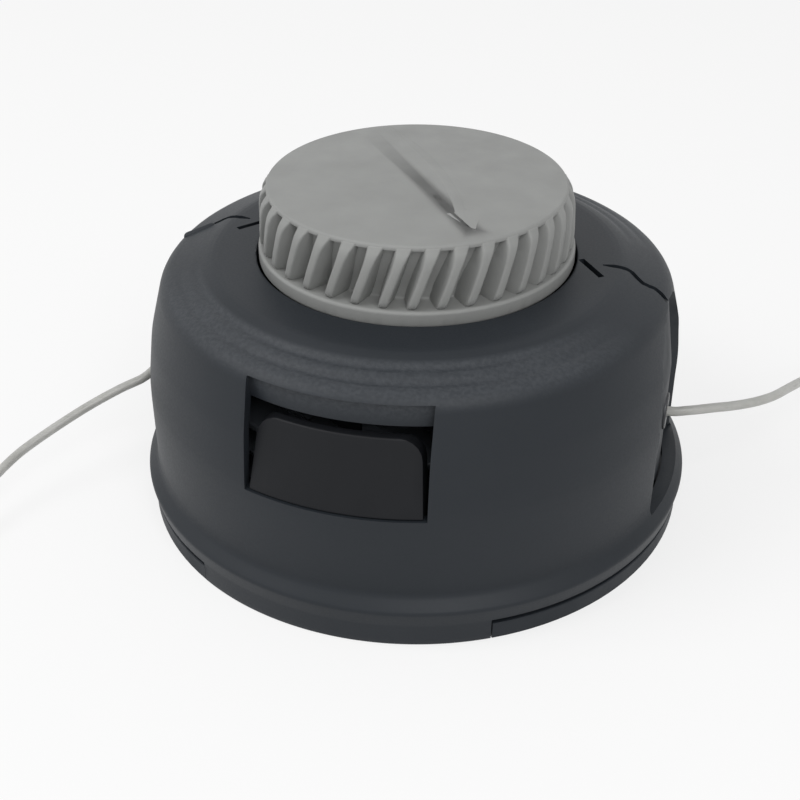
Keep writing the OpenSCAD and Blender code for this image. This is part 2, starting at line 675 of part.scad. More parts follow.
module bump_knob() {
    in_r = core_r - knob_wall;
    carrier_r = core_r - carrier_fit - knob_wall + 2.4;
    boss_z = disc_z - boss_h;
    color([0.6, 0.6, 0.59]) difference() {
        union() {
            turned([[0, disc_z], [in_r, disc_z, 1], [in_r, flange_z + 1, 1], [carrier_r + carrier_fit, flange_z - 4],
                    [carrier_r + carrier_fit, spool_top, 0.3], [neck_tube_r, spool_top, 0.3],
                    [neck_tube_r, flange_z - 0.5, 0.4], [flange_r, flange_z, 0.4], [flange_r, rib_z, 0.6],
                    [core_r, rib_z, 0.4], [core_r, knob_top - band_t, 0.8], [knob_r, knob_top - band_t],
                    [knob_r, knob_top, knob_edge_r], [0, knob_top]]);
            intersection() {
                for (i = [0:knob_ribs - 1]) rotate([0, 0, rib_phase - 90 + i * 360 / knob_ribs]) knob_rib();
                turned([[core_r - 0.5, rib_z - EPS], [rib_foot_r - 0.8, rib_z - EPS], [rib_foot_r, rib_z + 1.4, 2],
                        [rib_foot_r - 0.3, rib_z + 7, 12], [knob_r + 0.4, knob_top - 0.4, 0.3],
                        [knob_r - 0.6, knob_top - 0.2], [core_r - 0.5, knob_top - 0.2]]);
            }
            ring(washer_hole_r, washer_r, boss_z, disc_z + EPS);
            translate([0, 0, washer_z - pin_l]) cylinder(r = pin_r, h = disc_z - washer_z + pin_l + EPS);
        }
        arrow();
        for (i = [0:keys - 1]) rotate([0, 0, i * 360 / keys])
            translate([carrier_r - 1, -key_w / 2 - carrier_fit, spool_top - 1])
                cube([1 + key_depth + carrier_fit, key_w + 2 * carrier_fit, carrier_h + 1 + carrier_fit]);
    }
}

// Height of the spring's wire after a number of turns, with flat coils at both ends
function spring_at(t) = let (dead = 0.9, all = spring_coils + 2 * dead, lo = post_top + wire_r,
        hi = washer_z - wire_r, flat = 2 * wire_r * dead * 1.03)
    t < dead ? lo + flat * t / dead
    : t > all - dead ? hi - flat * (all - t) / dead
    : lo + flat + (hi - lo - 2 * flat) * (t - dead) / spring_coils;

module spring() {
    per = 18;
    sides = 8;
    n = round((spring_coils + 1.8) * per);
    pts = [for (i = [0:n], k = [0:sides - 1]) let (a = i * 360 / per, b = k * 360 / sides,
            q = spring_r + wire_r * cos(b)) [q * cos(a), q * sin(a), spring_at(i / per) + wire_r * sin(b)]];
    faces = concat([[for (k = [0:sides - 1]) k]], [[for (k = [sides - 1:-1:0]) n * sides + k]],
        [for (i = [0:n - 1], k = [0:sides - 1]) let (j = (k + 1) % sides)
            [i * sides + k, (i + 1) * sides + k, (i + 1) * sides + j, i * sides + j]]);
    color([0.62, 0.63, 0.66]) polyhedron(pts, faces);
}

module thrust_washer() {
    color([0.7, 0.71, 0.73]) translate([0, 0, washer_z])
        turned([[washer_hole_r, 0, 0.2], [washer_r, 0, 0.2], [washer_r, washer_t, 0.2],
                [washer_hole_r, washer_t, 0.2]]);
}

// A winding, with the turns of its outermost layer
module winding(z) {
    turns = floor(space_h / line_d);
    r = line_d / 2;
    z0 = z + (space_h - turns * line_d) / 2;
    color([0.62, 0.62, 0.6]) rotate_extrude() union() {
        translate([drum_r, z0 + 0.1]) square([winding_r - r - drum_r, turns * line_d - 0.2]);
        for (i = [0:turns - 1]) translate([winding_r - r, z0 + r + i * line_d]) circle(r = r, $fn = 24);
    }
}

module winding_lower() {
    winding(lower_space_z);
}

module winding_upper() {
    winding(upper_space_z);
}

// A round tube along a row of points
module tube_along(path) {
    sides = 8;
    n = len(path) - 1;
    dir = [for (i = [0:n]) unit(path[min(i + 1, n)] - path[max(i - 1, 0)])];
    side = [for (d = dir) unit(cross(d, [0, 0, 1]))];
    up = [for (i = [0:n]) cross(side[i], dir[i])];
    pts = [for (i = [0:n], k = [0:sides - 1]) let (a = k * 360 / sides)
        path[i] + line_d / 2 * (cos(a) * side[i] + sin(a) * up[i])];
    faces = concat([[for (k = [sides - 1:-1:0]) k]], [[for (k = [0:sides - 1]) n * sides + k]],
        [for (i = [0:n - 1], k = [0:sides - 1]) let (j = (k + 1) % sides)
            [i * sides + j, (i + 1) * sides + j, (i + 1) * sides + k, i * sides + k]]);
    polyhedron(pts, faces);
}

module line_end_right() {
    color([0.63, 0.63, 0.61]) translate([tower_r, 0, eyelet_z]) tube_along(ROUTE_RIGHT);
}

module line_end_left() {
    color([0.63, 0.63, 0.61]) translate([-tower_r, 0, eyelet_z]) tube_along(ROUTE_LEFT);
}

base_housing();
cap();
latch_front();
latch_rear();
eyelet_right();
eyelet_left();
arbor_nut();
spool();
bump_knob();
spring();
thrust_washer();
winding_lower();
winding_upper();
line_end_right();
line_end_left();
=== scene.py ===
"""Looks of the trimmer head: camera, line ends, cap, latches, knob, finishes and studio."""

import logging
import math
from dataclasses import dataclass, field
from enum import Enum
from typing import Callable, Iterable, Sequence

import bmesh
import bpy
from mathutils import Matrix, Vector


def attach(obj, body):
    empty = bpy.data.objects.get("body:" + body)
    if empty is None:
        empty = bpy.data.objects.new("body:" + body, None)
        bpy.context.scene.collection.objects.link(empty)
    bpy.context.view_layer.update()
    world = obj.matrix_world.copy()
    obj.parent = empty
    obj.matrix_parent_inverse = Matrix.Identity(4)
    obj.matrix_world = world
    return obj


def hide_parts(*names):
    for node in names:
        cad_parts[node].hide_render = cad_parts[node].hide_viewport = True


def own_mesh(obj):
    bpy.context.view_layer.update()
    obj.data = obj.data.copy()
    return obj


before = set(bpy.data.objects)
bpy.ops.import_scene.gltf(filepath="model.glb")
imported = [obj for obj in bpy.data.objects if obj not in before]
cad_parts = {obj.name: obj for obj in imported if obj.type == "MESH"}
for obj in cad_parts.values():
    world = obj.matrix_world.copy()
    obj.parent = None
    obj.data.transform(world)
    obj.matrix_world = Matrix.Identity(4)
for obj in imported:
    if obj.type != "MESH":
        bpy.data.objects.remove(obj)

LOG = logging.getLogger("trimmer_head")
MM = 0.001
Point2 = tuple[float, float]
Colour = tuple[float, float, float]


class Side(Enum):
    """The two sides that a line leaves from, with the sign of X."""

    RIGHT = 1
    LEFT = -1


class Face(Enum):
    """The two windows of the cap, with the turn about Z in degrees that brings the front one there."""

    FRONT = 0
    REAR = 180


def polar(radius: float, azimuth: float) -> Vector:
    """A point in plan at an azimuth in degrees, counted from the front window towards +X."""
    a = math.radians(azimuth)
    return Vector((radius * math.sin(a), -radius * math.cos(a), 0.0))


def rounded(corners: Sequence[Sequence[float]], pitch: float = 9.0) -> list[Point2]:
    """Rounds the corners of an outline.

    Args:
        corners: Corners as (x, y) or (x, y, radius).
        pitch: Degrees of arc from one point to the next.

    Returns:
        The outline's points.
    """
    out: list[Point2] = []
    count = len(corners)
    for i, corner in enumerate(corners):
        b = Vector(corner[:2])
        radius = corner[2] if len(corner) > 2 else 0.0
        u = (Vector(corners[i - 1][:2]) - b).normalized()
        w = (Vector(corners[(i + 1) % count][:2]) - b).normalized()
        if radius <= 0 or (u + w).length < 1e-6:
            out.append((b.x, b.y))
            continue
        half = math.acos(max(-1.0, min(1.0, u.dot(w)))) / 2
        middle = b + (u + w).normalized() * radius / math.sin(half)
        start = b + u * radius / math.tan(half) - middle
        turn = start.angle_signed(b + w * radius / math.tan(half) - middle)
        steps = max(2, round(abs(math.degrees(turn)) / pitch))
        a0 = math.atan2(start.y, start.x)
        for k in range(steps + 1):
            a = a0 - turn * k / steps
            out.append((middle.x + radius * math.cos(a), middle.y + radius * math.sin(a)))
    return out


def between(stops: Sequence[Point2], at: float) -> float:
    """The value at a place among stops of (place, value) in rising order."""
    if at <= stops[0][0]:
        return stops[0][1]
    for (x0, y0), (x1, y1) in zip(stops, stops[1:]):
        if at <= x1:
            return y0 + (y1 - y0) * (at - x0) / (x1 - x0)
    return stops[-1][1]


def refined(outline: Sequence[Point2], step: Callable[[Point2, Point2], float]) -> list[Point2]:
    """Adds points to the long sides of a closed outline.

    Args:
        outline: The outline's points.
        step: Gives the longest piece allowed on the side between two points.

    Returns:
        The outline with its long sides cut into equal pieces.
    """
    out: list[Point2] = []
    for i, a in enumerate(outline):
        b = outline[(i + 1) % len(outline)]
        cuts = max(1, math.ceil(math.dist(a, b) / step(a, b)))
        out += [(a[0] + (b[0] - a[0]) * k / cuts, a[1] + (b[1] - a[1]) * k / cuts) for k in range(cuts)]
    return out


def outline_loop(bm: bmesh.types.BMesh, points: Iterable[Vector]) -> list[bmesh.types.BMEdge]:
    """Lays a closed loop of edges along points.

    Args:
        bm: The mesh that takes the loop.
        points: The loop's points, in order.

    Returns:
        The loop's edges.
    """
    verts = [bm.verts.new(p) for p in points]
    return [bm.edges.new((verts[i - 1], v)) for i, v in enumerate(verts)]


def turned(outline: Sequence[Point2], steps: int, start: float = 0.0, sweep: float = 360.0) -> bmesh.types.BMesh:
    """Spins a closed outline of (radius, height) about the Z axis.

    Args:
        outline: The outline's points.
        steps: Number of steps in the sweep.
        start: Azimuth where the sweep starts, in degrees.
        sweep: Angle of the sweep in degrees.

    Returns:
        A closed mesh.
    """
    bm = bmesh.new()
    edges = outline_loop(bm, [polar(r, start) + Vector((0, 0, z)) for r, z in outline])
    verts = list({v for e in edges for v in e.verts})
    full = sweep >= 360.0
    geom: list = verts + edges
    if not full:
        geom += bmesh.ops.edgeloop_fill(bm, edges=edges)["faces"]
    bmesh.ops.spin(bm, geom=geom, cent=(0, 0, 0), axis=(0, 0, 1), dvec=(0, 0, 0),
                   angle=math.radians(sweep), steps=steps, use_merge=full, use_duplicate=False)
    if not full:
        bmesh.ops.remove_doubles(bm, verts=bm.verts, dist=1e-5)
    bmesh.ops.recalc_face_normals(bm, faces=bm.faces)
    return bm


def pushed(outline: Sequence[Vector], way: Vector) -> bmesh.types.BMesh:
    """Pushes a flat closed outline out into a solid.

    Args:
        outline: The outline's points in space.
        way: Length and direction of the push.

    Returns:
        A closed mesh.
    """
    bm = bmesh.new()
    edges = outline_loop(bm, outline)
    faces = bmesh.ops.edgeloop_fill(bm, edges=edges)["faces"]
    moved = bmesh.ops.extrude_face_region(bm, geom=faces)["geom"]
    bmesh.ops.translate(bm, vec=way, verts=[g for g in moved if isinstance(g, bmesh.types.BMVert)])
    bmesh.ops.recalc_face_normals(bm, faces=bm.faces)
    return bm


def block(low: Vector, high: Vector) -> bmesh.types.BMesh:
    """A box between two corners."""
    bm = bmesh.new()
    bmesh.ops.create_cube(bm, size=1.0)
    bmesh.ops.scale(bm, vec=high - low, verts=bm.verts)
    bmesh.ops.translate(bm, vec=(low + high) / 2, verts=bm.verts)
    return bm


def trimmed(bm: bmesh.types.BMesh, point: Vector, normal: Vector) -> None:
    """Takes away what lies on the normal's side of a plane, and closes the cut."""
    geom = bm.verts[:] + bm.edges[:] + bm.faces[:]
    cut = bmesh.ops.bisect_plane(bm, geom=geom, dist=1e-6, plane_co=point, plane_no=normal, clear_outer=True)
    bmesh.ops.holes_fill(bm, edges=[g for g in cut["geom_cut"] if isinstance(g, bmesh.types.BMEdge)])
    bmesh.ops.recalc_face_normals(bm, faces=bm.faces)


def joined(parts: Iterable[bmesh.types.BMesh]) -> bmesh.types.BMesh:
    """Puts several meshes into one and frees them."""
    whole = bmesh.new()
    for part in parts:
        mesh = bpy.data.meshes.new("part")
        part.to_mesh(mesh)
        part.free()
        whole.from_mesh(mesh)
        bpy.data.meshes.remove(mesh)
    return whole


def spun_copies(part: bmesh.types.BMesh, count: int) -> bmesh.types.BMesh:
    """Repeats a mesh evenly round the Z axis."""
    geom = part.verts[:] + part.edges[:] + part.faces[:]
    bmesh.ops.spin(part, geom=geom, cent=(0, 0, 0), axis=(0, 0, 1), dvec=(0, 0, 0),
                   angle=math.tau * (count - 1) / count, steps=count - 1, use_duplicate=True)
    return part


def turned_about_z(bm: bmesh.types.BMesh, degrees: float) -> bmesh.types.BMesh:
    """Turns a mesh about the Z axis."""
    bmesh.ops.rotate(bm, cent=(0, 0, 0), matrix=Matrix.Rotation(math.radians(degrees), 3, "Z"), verts=bm.verts)
    return bm


def as_object(name: str, bm: bmesh.types.BMesh) -> bpy.types.Object:
    """Makes an object of a mesh and frees the mesh."""
    mesh = bpy.data.meshes.new(name)
    bm.to_mesh(mesh)
    bm.free()
    piece = bpy.data.objects.new(name, mesh)
    bpy.context.scene.collection.objects.link(piece)
    return piece


def cut(piece: bpy.types.Object, cutters: Sequence[bmesh.types.BMesh]) -> None:
    """Cuts solids out of a piece, one after another, and keeps the result as its mesh."""
    tools = [as_object("cutter", bm) for bm in cutters]
    for tool in tools:
        modifier = piece.modifiers.new("cut", "BOOLEAN")
        modifier.operation = "DIFFERENCE"
        modifier.solver = "EXACT"
        modifier.object = tool
    settle(piece)
    for tool in tools:
        mesh = tool.data
        bpy.data.objects.remove(tool)
        bpy.data.meshes.remove(mesh)


def settle(piece: bpy.types.Object) -> None:
    """Makes what a piece's modifiers give its own mesh."""
    graph = bpy.context.evaluated_depsgraph_get()
    mesh = bpy.data.meshes.new_from_object(piece.evaluated_get(graph))
    piece.modifiers.clear()
    old, piece.data = piece.data, mesh
    bpy.data.meshes.remove(old)
    mesh.name = piece.name


def soften(piece: bpy.types.Object, width: float, near: float, keep: Callable[[Vector], bool],
           angle: float = 32.0, segments: int = 2) -> None:
    """Rounds the sharp edges of a cut piece.

    Args:
        piece: The piece, in millimetres.
        width: Width of the rounding.
        near: Points closer than this to a sharp edge are drawn onto it first.
        keep: Says whether an edge with this middle is to be rounded.
        angle: Edges that turn by less, in degrees, are left.
        segments: Number of faces across the rounding.
    """
    bm = bmesh.new()
    bm.from_mesh(piece.data)
    bmesh.ops.remove_doubles(bm, verts=bm.verts, dist=near * 0.3)
    limit = math.radians(angle)

    def sharp_edges() -> list[bmesh.types.BMEdge]:
        return [e for e in bm.edges if e.is_manifold and e.calc_face_angle(0.0) > limit
                and keep((e.verts[0].co + e.verts[1].co) / 2)]

    sharp = set(sharp_edges())
    ends = {v for e in sharp for v in e.verts}
    target: dict[bmesh.types.BMVert, bmesh.types.BMVert] = {}
    for v in bm.verts:
        if v in ends:
            continue
        for e in {e for f in v.link_faces for e in f.edges if e in sharp}:
            a, b = e.verts[0].co, e.verts[1].co
            t = max(0.0, min(1.0, (v.co - a).dot(b - a) / max((b - a).length_squared, 1e-9)))
            if (v.co - a - (b - a) * t).length < near:
                target[v] = e.verts[0] if t < 0.5 else e.verts[1]
                break
    bmesh.ops.weld_verts(bm, targetmap=target)
    bmesh.ops.dissolve_degenerate(bm, edges=bm.edges, dist=1e-4)
    edges = sharp_edges()
    bmesh.ops.bevel(bm, geom=edges, offset=width, offset_type="OFFSET", segments=segments, profile=0.5,
                    affect="EDGES", clamp_overlap=True, material=-1, loop_slide=True)
    bm.to_mesh(piece.data)
    bm.free()


def finished(piece: bpy.types.Object, material: bpy.types.Material, angle: float = 30.0) -> bpy.types.Object:
    """Brings a piece from millimetres to metres, smooths it and dresses it.

    Args:
        piece: The piece, in millimetres.
        material: Its finish.
        angle: Edges that turn by more, in degrees, stay sharp.

    Returns:
        The piece.
    """
    piece.data.transform(Matrix.Scale(MM, 4))
    for polygon in piece.data.polygons:
        polygon.use_smooth = True
    piece.data.set_sharp_from_angle(angle=math.radians(angle))
    piece.data.materials.clear()
    piece.data.materials.append(material)
    return piece


class Nodes:
    """A short way to lay out the nodes of one material."""

    def __init__(self, name: str) -> None:
        """Starts a material with an empty tree."""
        self.material = bpy.data.materials.new(name)
        self.material.use_nodes = True
        self.tree = self.material.node_tree
        self.tree.nodes.clear()
        self.place = self.add("ShaderNodeTexCoord").outputs["Object"]

    def add(self, kind: str, **settings: object) -> bpy.types.Node:
        """Adds a node and sets its properties."""
        node = self.tree.nodes.new(kind)
        for key, value in settings.items():
            setattr(node, key, value)
        return node

    def link(self, source: bpy.types.NodeSocket, target: bpy.types.NodeSocket) -> None:
        """Joins two sockets."""
        self.tree.links.new(source, target)

    def noise(self, scale: float, detail: float = 2.0, rough: float = 0.5) -> bpy.types.NodeSocket:
        """Noise on the piece's own coordinates; scale counts per metre."""
        node = self.add("ShaderNodeTexNoise")
        node.inputs["Scale"].default_value = scale
        node.inputs["Detail"].default_value = detail
        node.inputs["Roughness"].default_value = rough
        self.link(self.place, node.inputs["Vector"])
        return node.outputs["Fac"]

    def cells(self, scale: float) -> bpy.types.NodeSocket:
        """Distance to the nearest of scattered cell centres; scale counts per metre."""
        node = self.add("ShaderNodeTexVoronoi")
        node.inputs["Scale"].default_value = scale
        self.link(self.place, node.inputs["Vector"])
        return node.outputs["Distance"]

    def ranged(self, source: bpy.types.NodeSocket, a: float, b: float, low: float, high: float
               ) -> bpy.types.NodeSocket:
        """Maps the stretch a to b of a value onto low to high."""
        node = self.add("ShaderNodeMapRange")
        for key, value in zip(("From Min", "From Max", "To Min", "To Max"), (a, b, low, high)):
            node.inputs[key].default_value = value
        self.link(source, node.inputs["Value"])
        return node.outputs["Result"]

    def times(self, a: bpy.types.NodeSocket, b: bpy.types.NodeSocket) -> bpy.types.NodeSocket:
        """The product of two values."""
        node = self.add("ShaderNodeMath", operation="MULTIPLY")
        self.link(a, node.inputs[0])
        self.link(b, node.inputs[1])
        return node.outputs["Value"]

    def blended(self, share: bpy.types.NodeSocket, a: Colour, b: Colour) -> bpy.types.NodeSocket:
        """A colour between a and b."""
        node = self.add("ShaderNodeMix", data_type="RGBA")
        node.inputs[6].default_value = (*a, 1.0)
        node.inputs[7].default_value = (*b, 1.0)
        self.link(share, node.inputs[0])
        return node.outputs[2]

    def bump(self, height: bpy.types.NodeSocket, strength: float, distance: float,
             under: bpy.types.NodeSocket | None = None) -> bpy.types.NodeSocket:
        """A bump of a height map over an earlier one."""
        node = self.add("ShaderNodeBump")
        node.inputs["Strength"].default_value = strength
        node.inputs["Distance"].default_value = distance
        self.link(height, node.inputs["Height"])
        if under is not None:
            self.link(under, node.inputs["Normal"])
        return node.outputs["Normal"]

    def surface(self) -> bpy.types.Node:
        """The main shader, joined to the output."""
        shader = self.add("ShaderNodeBsdfPrincipled")
        self.link(shader.outputs["BSDF"], self.add("ShaderNodeOutputMaterial").inputs["Surface"])
        return shader


@dataclass(frozen=True)
class MouldedPlastic:
    """Injection-moulded plastic with mottled colour, a fine grain and slow waves in its surface."""

    name: str
    colour: Colour
    second: Colour
    roughness: float
    roughness_spread: float = 0.06
    grain: float = 2400.0
    grain_depth: float = 0.00003
    waves: float = 60.0
    wave_depth: float = 0.00012
    shine: float = 0.3

    def make(self) -> bpy.types.Material:
        """Builds the material."""
        n = Nodes(self.name)
        shader = n.surface()
        n.link(n.blended(n.ranged(n.noise(70.0, 4.0, 0.6), 0.3, 0.7, 0.0, 1.0), self.colour, self.second),
               shader.inputs["Base Color"])
        n.link(n.ranged(n.noise(140.0, 3.0), 0.3, 0.7, self.roughness - self.roughness_spread,
                        self.roughness + self.roughness_spread), shader.inputs["Roughness"])
        slow = n.bump(n.noise(self.waves, 1.0), 0.25, self.wave_depth)
        n.link(n.bump(n.noise(self.grain, 3.0, 0.6), 0.5, self.grain_depth, slow), shader.inputs["Normal"])
        shader.inputs["Specular IOR Level"].default_value = self.shine
        return n.material


@dataclass(frozen=True)
class SparkPlastic:
    """Moulded plastic with a fine grain, a spark-eroded texture round the steps of the dome, and a painted highlight
    speckled with painted glints on those steps near the windows.
    """

    name: str
    colour: Colour
    second: Colour
    # Painted highlight: a lighter colour laid on the steps of the dome near the windows, standing in for light on the
    # ridges.
    ridge_highlight: Colour
    roughness: float
    spark: float = 2600.0
    spark_depth: float = 0.00007
    plain_share: float = 0.12
    ridge_from: Point2 = (0.0437, 0.0447)
    ridge_to: Point2 = (0.0512, 0.0532)
    ridge_off: Point2 = (0.016, 0.034)
    shine: float = 0.25

    def ridges(self, n: Nodes) -> bpy.types.NodeSocket:
        """One round the steps of the dome near the windows, and nought elsewhere; it places both the spark texture and
        the painted highlight.
        """
        split = n.add("ShaderNodeSeparateXYZ")
        n.link(n.place, split.inputs["Vector"])
        flat = n.add("ShaderNodeCombineXYZ")
        n.link(split.outputs["X"], flat.inputs["X"])
        n.link(split.outputs["Y"], flat.inputs["Y"])
        radius = n.add("ShaderNodeVectorMath", operation="LENGTH")
        n.link(flat.outputs["Vector"], radius.inputs[0])
        off = n.add("ShaderNodeMath", operation="ABSOLUTE")
        n.link(split.outputs["Y"], off.inputs[0])
        ring = n.times(n.ranged(radius.outputs["Value"], *self.ridge_from, 0.0, 1.0),
                       n.ranged(radius.outputs["Value"], *self.ridge_to, 1.0, 0.0))
        high = n.ranged(split.outputs["Z"], 0.046, 0.0495, 0.0, 1.0)
        return n.times(n.times(ring, high), n.ranged(off.outputs["Value"], *self.ridge_off, 0.0, 1.0))

    def make(self) -> bpy.types.Material:
        """Builds the material."""
        n = Nodes(self.name)
        shader = n.surface()
        ridges = self.ridges(n)
        zone = n.ranged(ridges, 0.0, 1.0, self.plain_share, 1.0)
        plain = n.blended(n.ranged(n.noise(55.0, 4.0, 0.6), 0.3, 0.7, 0.0, 1.0), self.colour, self.second)
        # Painted highlight with painted glints: the steps near the windows are blended towards the lighter colour,
        # speckled by fine noise.
        highlight_tint = n.add("ShaderNodeMix", data_type="RGBA")
        n.link(n.times(ridges, n.ranged(n.noise(1300.0, 2.0), 0.35, 0.65, 0.5, 1.0)), highlight_tint.inputs[0])
        n.link(plain, highlight_tint.inputs[6])
        highlight_tint.inputs[7].default_value = (*self.ridge_highlight, 1.0)
        n.link(highlight_tint.outputs[2], shader.inputs["Base Color"])
        n.link(n.ranged(n.noise(2200.0, 2.0), 0.35, 0.65, self.roughness - 0.03, self.roughness + 0.03),
               shader.inputs["Roughness"])
        slow = n.bump(n.noise(25.0, 1.0), 0.1, 0.0002)
        coarse = n.bump(n.times(n.noise(self.spark, 2.0, 0.7), zone), 0.8, self.spark_depth, slow)
        fine = n.bump(n.times(n.cells(self.spark * 1.6), zone), 0.5, self.spark_depth * 0.5, coarse)
        n.link(fine, shader.inputs["Normal"])
        shader.inputs["Specular IOR Level"].default_value = self.shine
        return n.material


@dataclass(frozen=True)
class LineNylon:
    """Pale translucent nylon line with faint drawing marks."""

    name: str
    colour: Colour
    second: Colour

    def make(self) -> bpy.types.Material:
        """Builds the material."""
        n = Nodes(self.name)
        shader = n.surface()
        n.link(n.blended(n.ranged(n.noise(260.0, 3.0), 0.35, 0.65, 0.0, 1.0), self.colour, self.second),
               shader.inputs["Base Color"])
        n.link(n.ranged(n.noise(900.0, 2.0), 0.3, 0.7, 0.28, 0.42), shader.inputs["Roughness"])
        n.link(n.bump(n.noise(1800.0, 2.0), 0.3, 0.00002), shader.inputs["Normal"])
        shader.inputs["Subsurface Weight"].default_value = 0.35
        shader.inputs["Subsurface Radius"].default_value = (0.0012, 0.0012, 0.0011)
        shader.inputs["Subsurface Scale"].default_value = 1.0
        return n.material


@dataclass(frozen=True)
class WorkedMetal:
    """Turned, drawn or plated metal with fine marks."""

    name: str
    colour: Colour
    second: Colour
    roughness: float
    marks: float = 1500.0

    def make(self) -> bpy.types.Material:
        """Builds the material."""
        n = Nodes(self.name)
        shader = n.surface()
        n.link(n.blended(n.ranged(n.noise(420.0, 4.0), 0.3, 0.7, 0.0, 1.0), self.colour, self.second),
               shader.inputs["Base Color"])
        n.link(n.ranged(n.noise(self.marks, 4.0, 0.7), 0.3, 0.7, self.roughness - 0.08, self.roughness + 0.1),
               shader.inputs["Roughness"])
        n.link(n.bump(n.noise(self.marks, 3.0), 0.3, 0.00002), shader.inputs["Normal"])
        shader.inputs["Metallic"].default_value = 1.0
        return n.material


def seen_directly(tree: bpy.types.NodeTree) -> bpy.types.NodeSocket:
    """Tells whether a ray comes from the camera, from a reflection or through a clear piece."""
    path = tree.nodes.new("ShaderNodeLightPath")
    seen = path.outputs["Is Camera Ray"]
    for name in ("Is Glossy Ray", "Is Transmission Ray"):
        either = tree.nodes.new("ShaderNodeMath")
        either.operation = "MAXIMUM"
        tree.links.new(seen, either.inputs[0])
        tree.links.new(path.outputs[name], either.inputs[1])
        seen = either.outputs["Value"]
    return seen


@dataclass
class PhotoCamera:
    """The camera of the photograph; lengths in millimetres, angles in degrees."""

    target: tuple[float, float, float] = (0.0, 0.0, 30.0)
    distance: float = 280.0
    elevation: float = 31.13
    azimuth: float = 16.0
    roll: float = 0.25
    lens: float = 58.04
    shift: Point2 = (-0.02065, -0.06)

    def build(self) -> bpy.types.Object:
        """Places the camera and makes it the scene's own."""
        data = bpy.data.cameras.new("photo_camera")
        data.sensor_fit = "HORIZONTAL"
        data.sensor_width = 36.0
        data.lens = self.lens
        data.shift_x, data.shift_y = self.shift
        data.clip_start = 0.01
        camera = bpy.data.objects.new("photo_camera", data)
        bpy.context.scene.collection.objects.link(camera)
        up = math.radians(self.elevation)
        away = polar(math.cos(up), self.azimuth) + Vector((0, 0, math.sin(up)))
        place = (Vector(self.target) + away * self.distance) * MM
        aim = away.to_track_quat("Z", "Y").to_matrix().to_4x4()
        camera.matrix_world = Matrix.Translation(place) @ aim @ Matrix.Rotation(math.radians(self.roll), 4, "Z")
        bpy.context.scene.camera = camera
        return camera


@dataclass
class Studio:
    """A pale floor, a white surround and soft lamps."""

    floor_colour: Colour = (0.9, 0.9, 0.9)
    floor_size: float = 6.0
    floor_white: float = 0.72
    lamps: tuple[tuple[str, tuple[float, float, float], float, float], ...] = (
        ("left_lamp", (-0.65, -0.4, 0.85), 4.4, 0.6),
        ("front_lamp", (0.45, -0.7, 0.85), 4.8, 0.6))
    surround: float = 0.5

    def build_floor(self) -> bpy.types.Object:
        """A pale floor that shows white to the camera and keeps the object's shadow."""
        bm = bmesh.new()
        bmesh.ops.create_grid(bm, x_segments=2, y_segments=2, size=self.floor_size / 2 / MM)
        floor = finished(as_object("studio_floor", bm), self.floor_finish())
        return floor

    def floor_finish(self) -> bpy.types.Material:
        """The floor's material."""
        n = Nodes("studio_floor")
        shade = n.add("ShaderNodeBsdfDiffuse")
        shade.inputs["Color"].default_value = (*self.floor_colour, 1.0)
        white = n.add("ShaderNodeEmission")
        white.inputs["Color"].default_value = (1.0, 1.0, 1.0, 1.0)
        mix = n.add("ShaderNodeMixShader")
        n.link(n.ranged(seen_directly(n.tree), 0.0, 1.0, 0.0, self.floor_white), mix.inputs["Fac"])
        n.link(shade.outputs["BSDF"], mix.inputs[1])
        n.link(white.outputs["Emission"], mix.inputs[2])
        n.link(mix.outputs["Shader"], n.add("ShaderNodeOutputMaterial").inputs["Surface"])
        return n.material

    def build_world(self) -> None:
        """A surround that looks white and lights softly."""
        world = bpy.data.worlds.new("studio_world")
        world.use_nodes = True
        tree = world.node_tree
        tree.nodes.clear()
        dim, white = tree.nodes.new("ShaderNodeBackground"), tree.nodes.new("ShaderNodeBackground")
        dim.inputs["Color"].default_value = (1.0, 1.0, 1.0, 1.0)
        dim.inputs["Strength"].default_value = self.surround
        white.inputs["Strength"].default_value = 1.0
        white.inputs["Color"].default_value = (1.0, 1.0, 1.0, 1.0)
        mix = tree.nodes.new("ShaderNodeMixShader")
        tree.links.new(seen_directly(tree), mix.inputs["Fac"])
        tree.links.new(dim.outputs["Background"], mix.inputs[1])
        tree.links.new(white.outputs["Background"], mix.inputs[2])
        tree.links.new(mix.outputs["Shader"], tree.nodes.new("ShaderNodeOutputWorld").inputs["Surface"])
        bpy.context.scene.world = world

    def lamp(self, name: str, place: Vector, power: float, size: float) -> None:
        """A square soft lamp that points at the object."""
        data = bpy.data.lights.new(name, "AREA")
        data.shape = "SQUARE"
        data.size = size
        data.energy = power
        lamp = bpy.data.objects.new(name, data)
        bpy.context.scene.collection.objects.link(lamp)
        aim = (place - Vector((0, 0, 0.03))).to_track_quat("Z", "Y").to_matrix().to_4x4()
        lamp.matrix_world = Matrix.Translation(place) @ aim

    def build(self) -> None:
        """Builds floor, surround and lamps."""
        self.build_floor()
        self.build_world()
        for name, place, power, size in self.lamps:
            self.lamp(name, Vector(place), power, size)


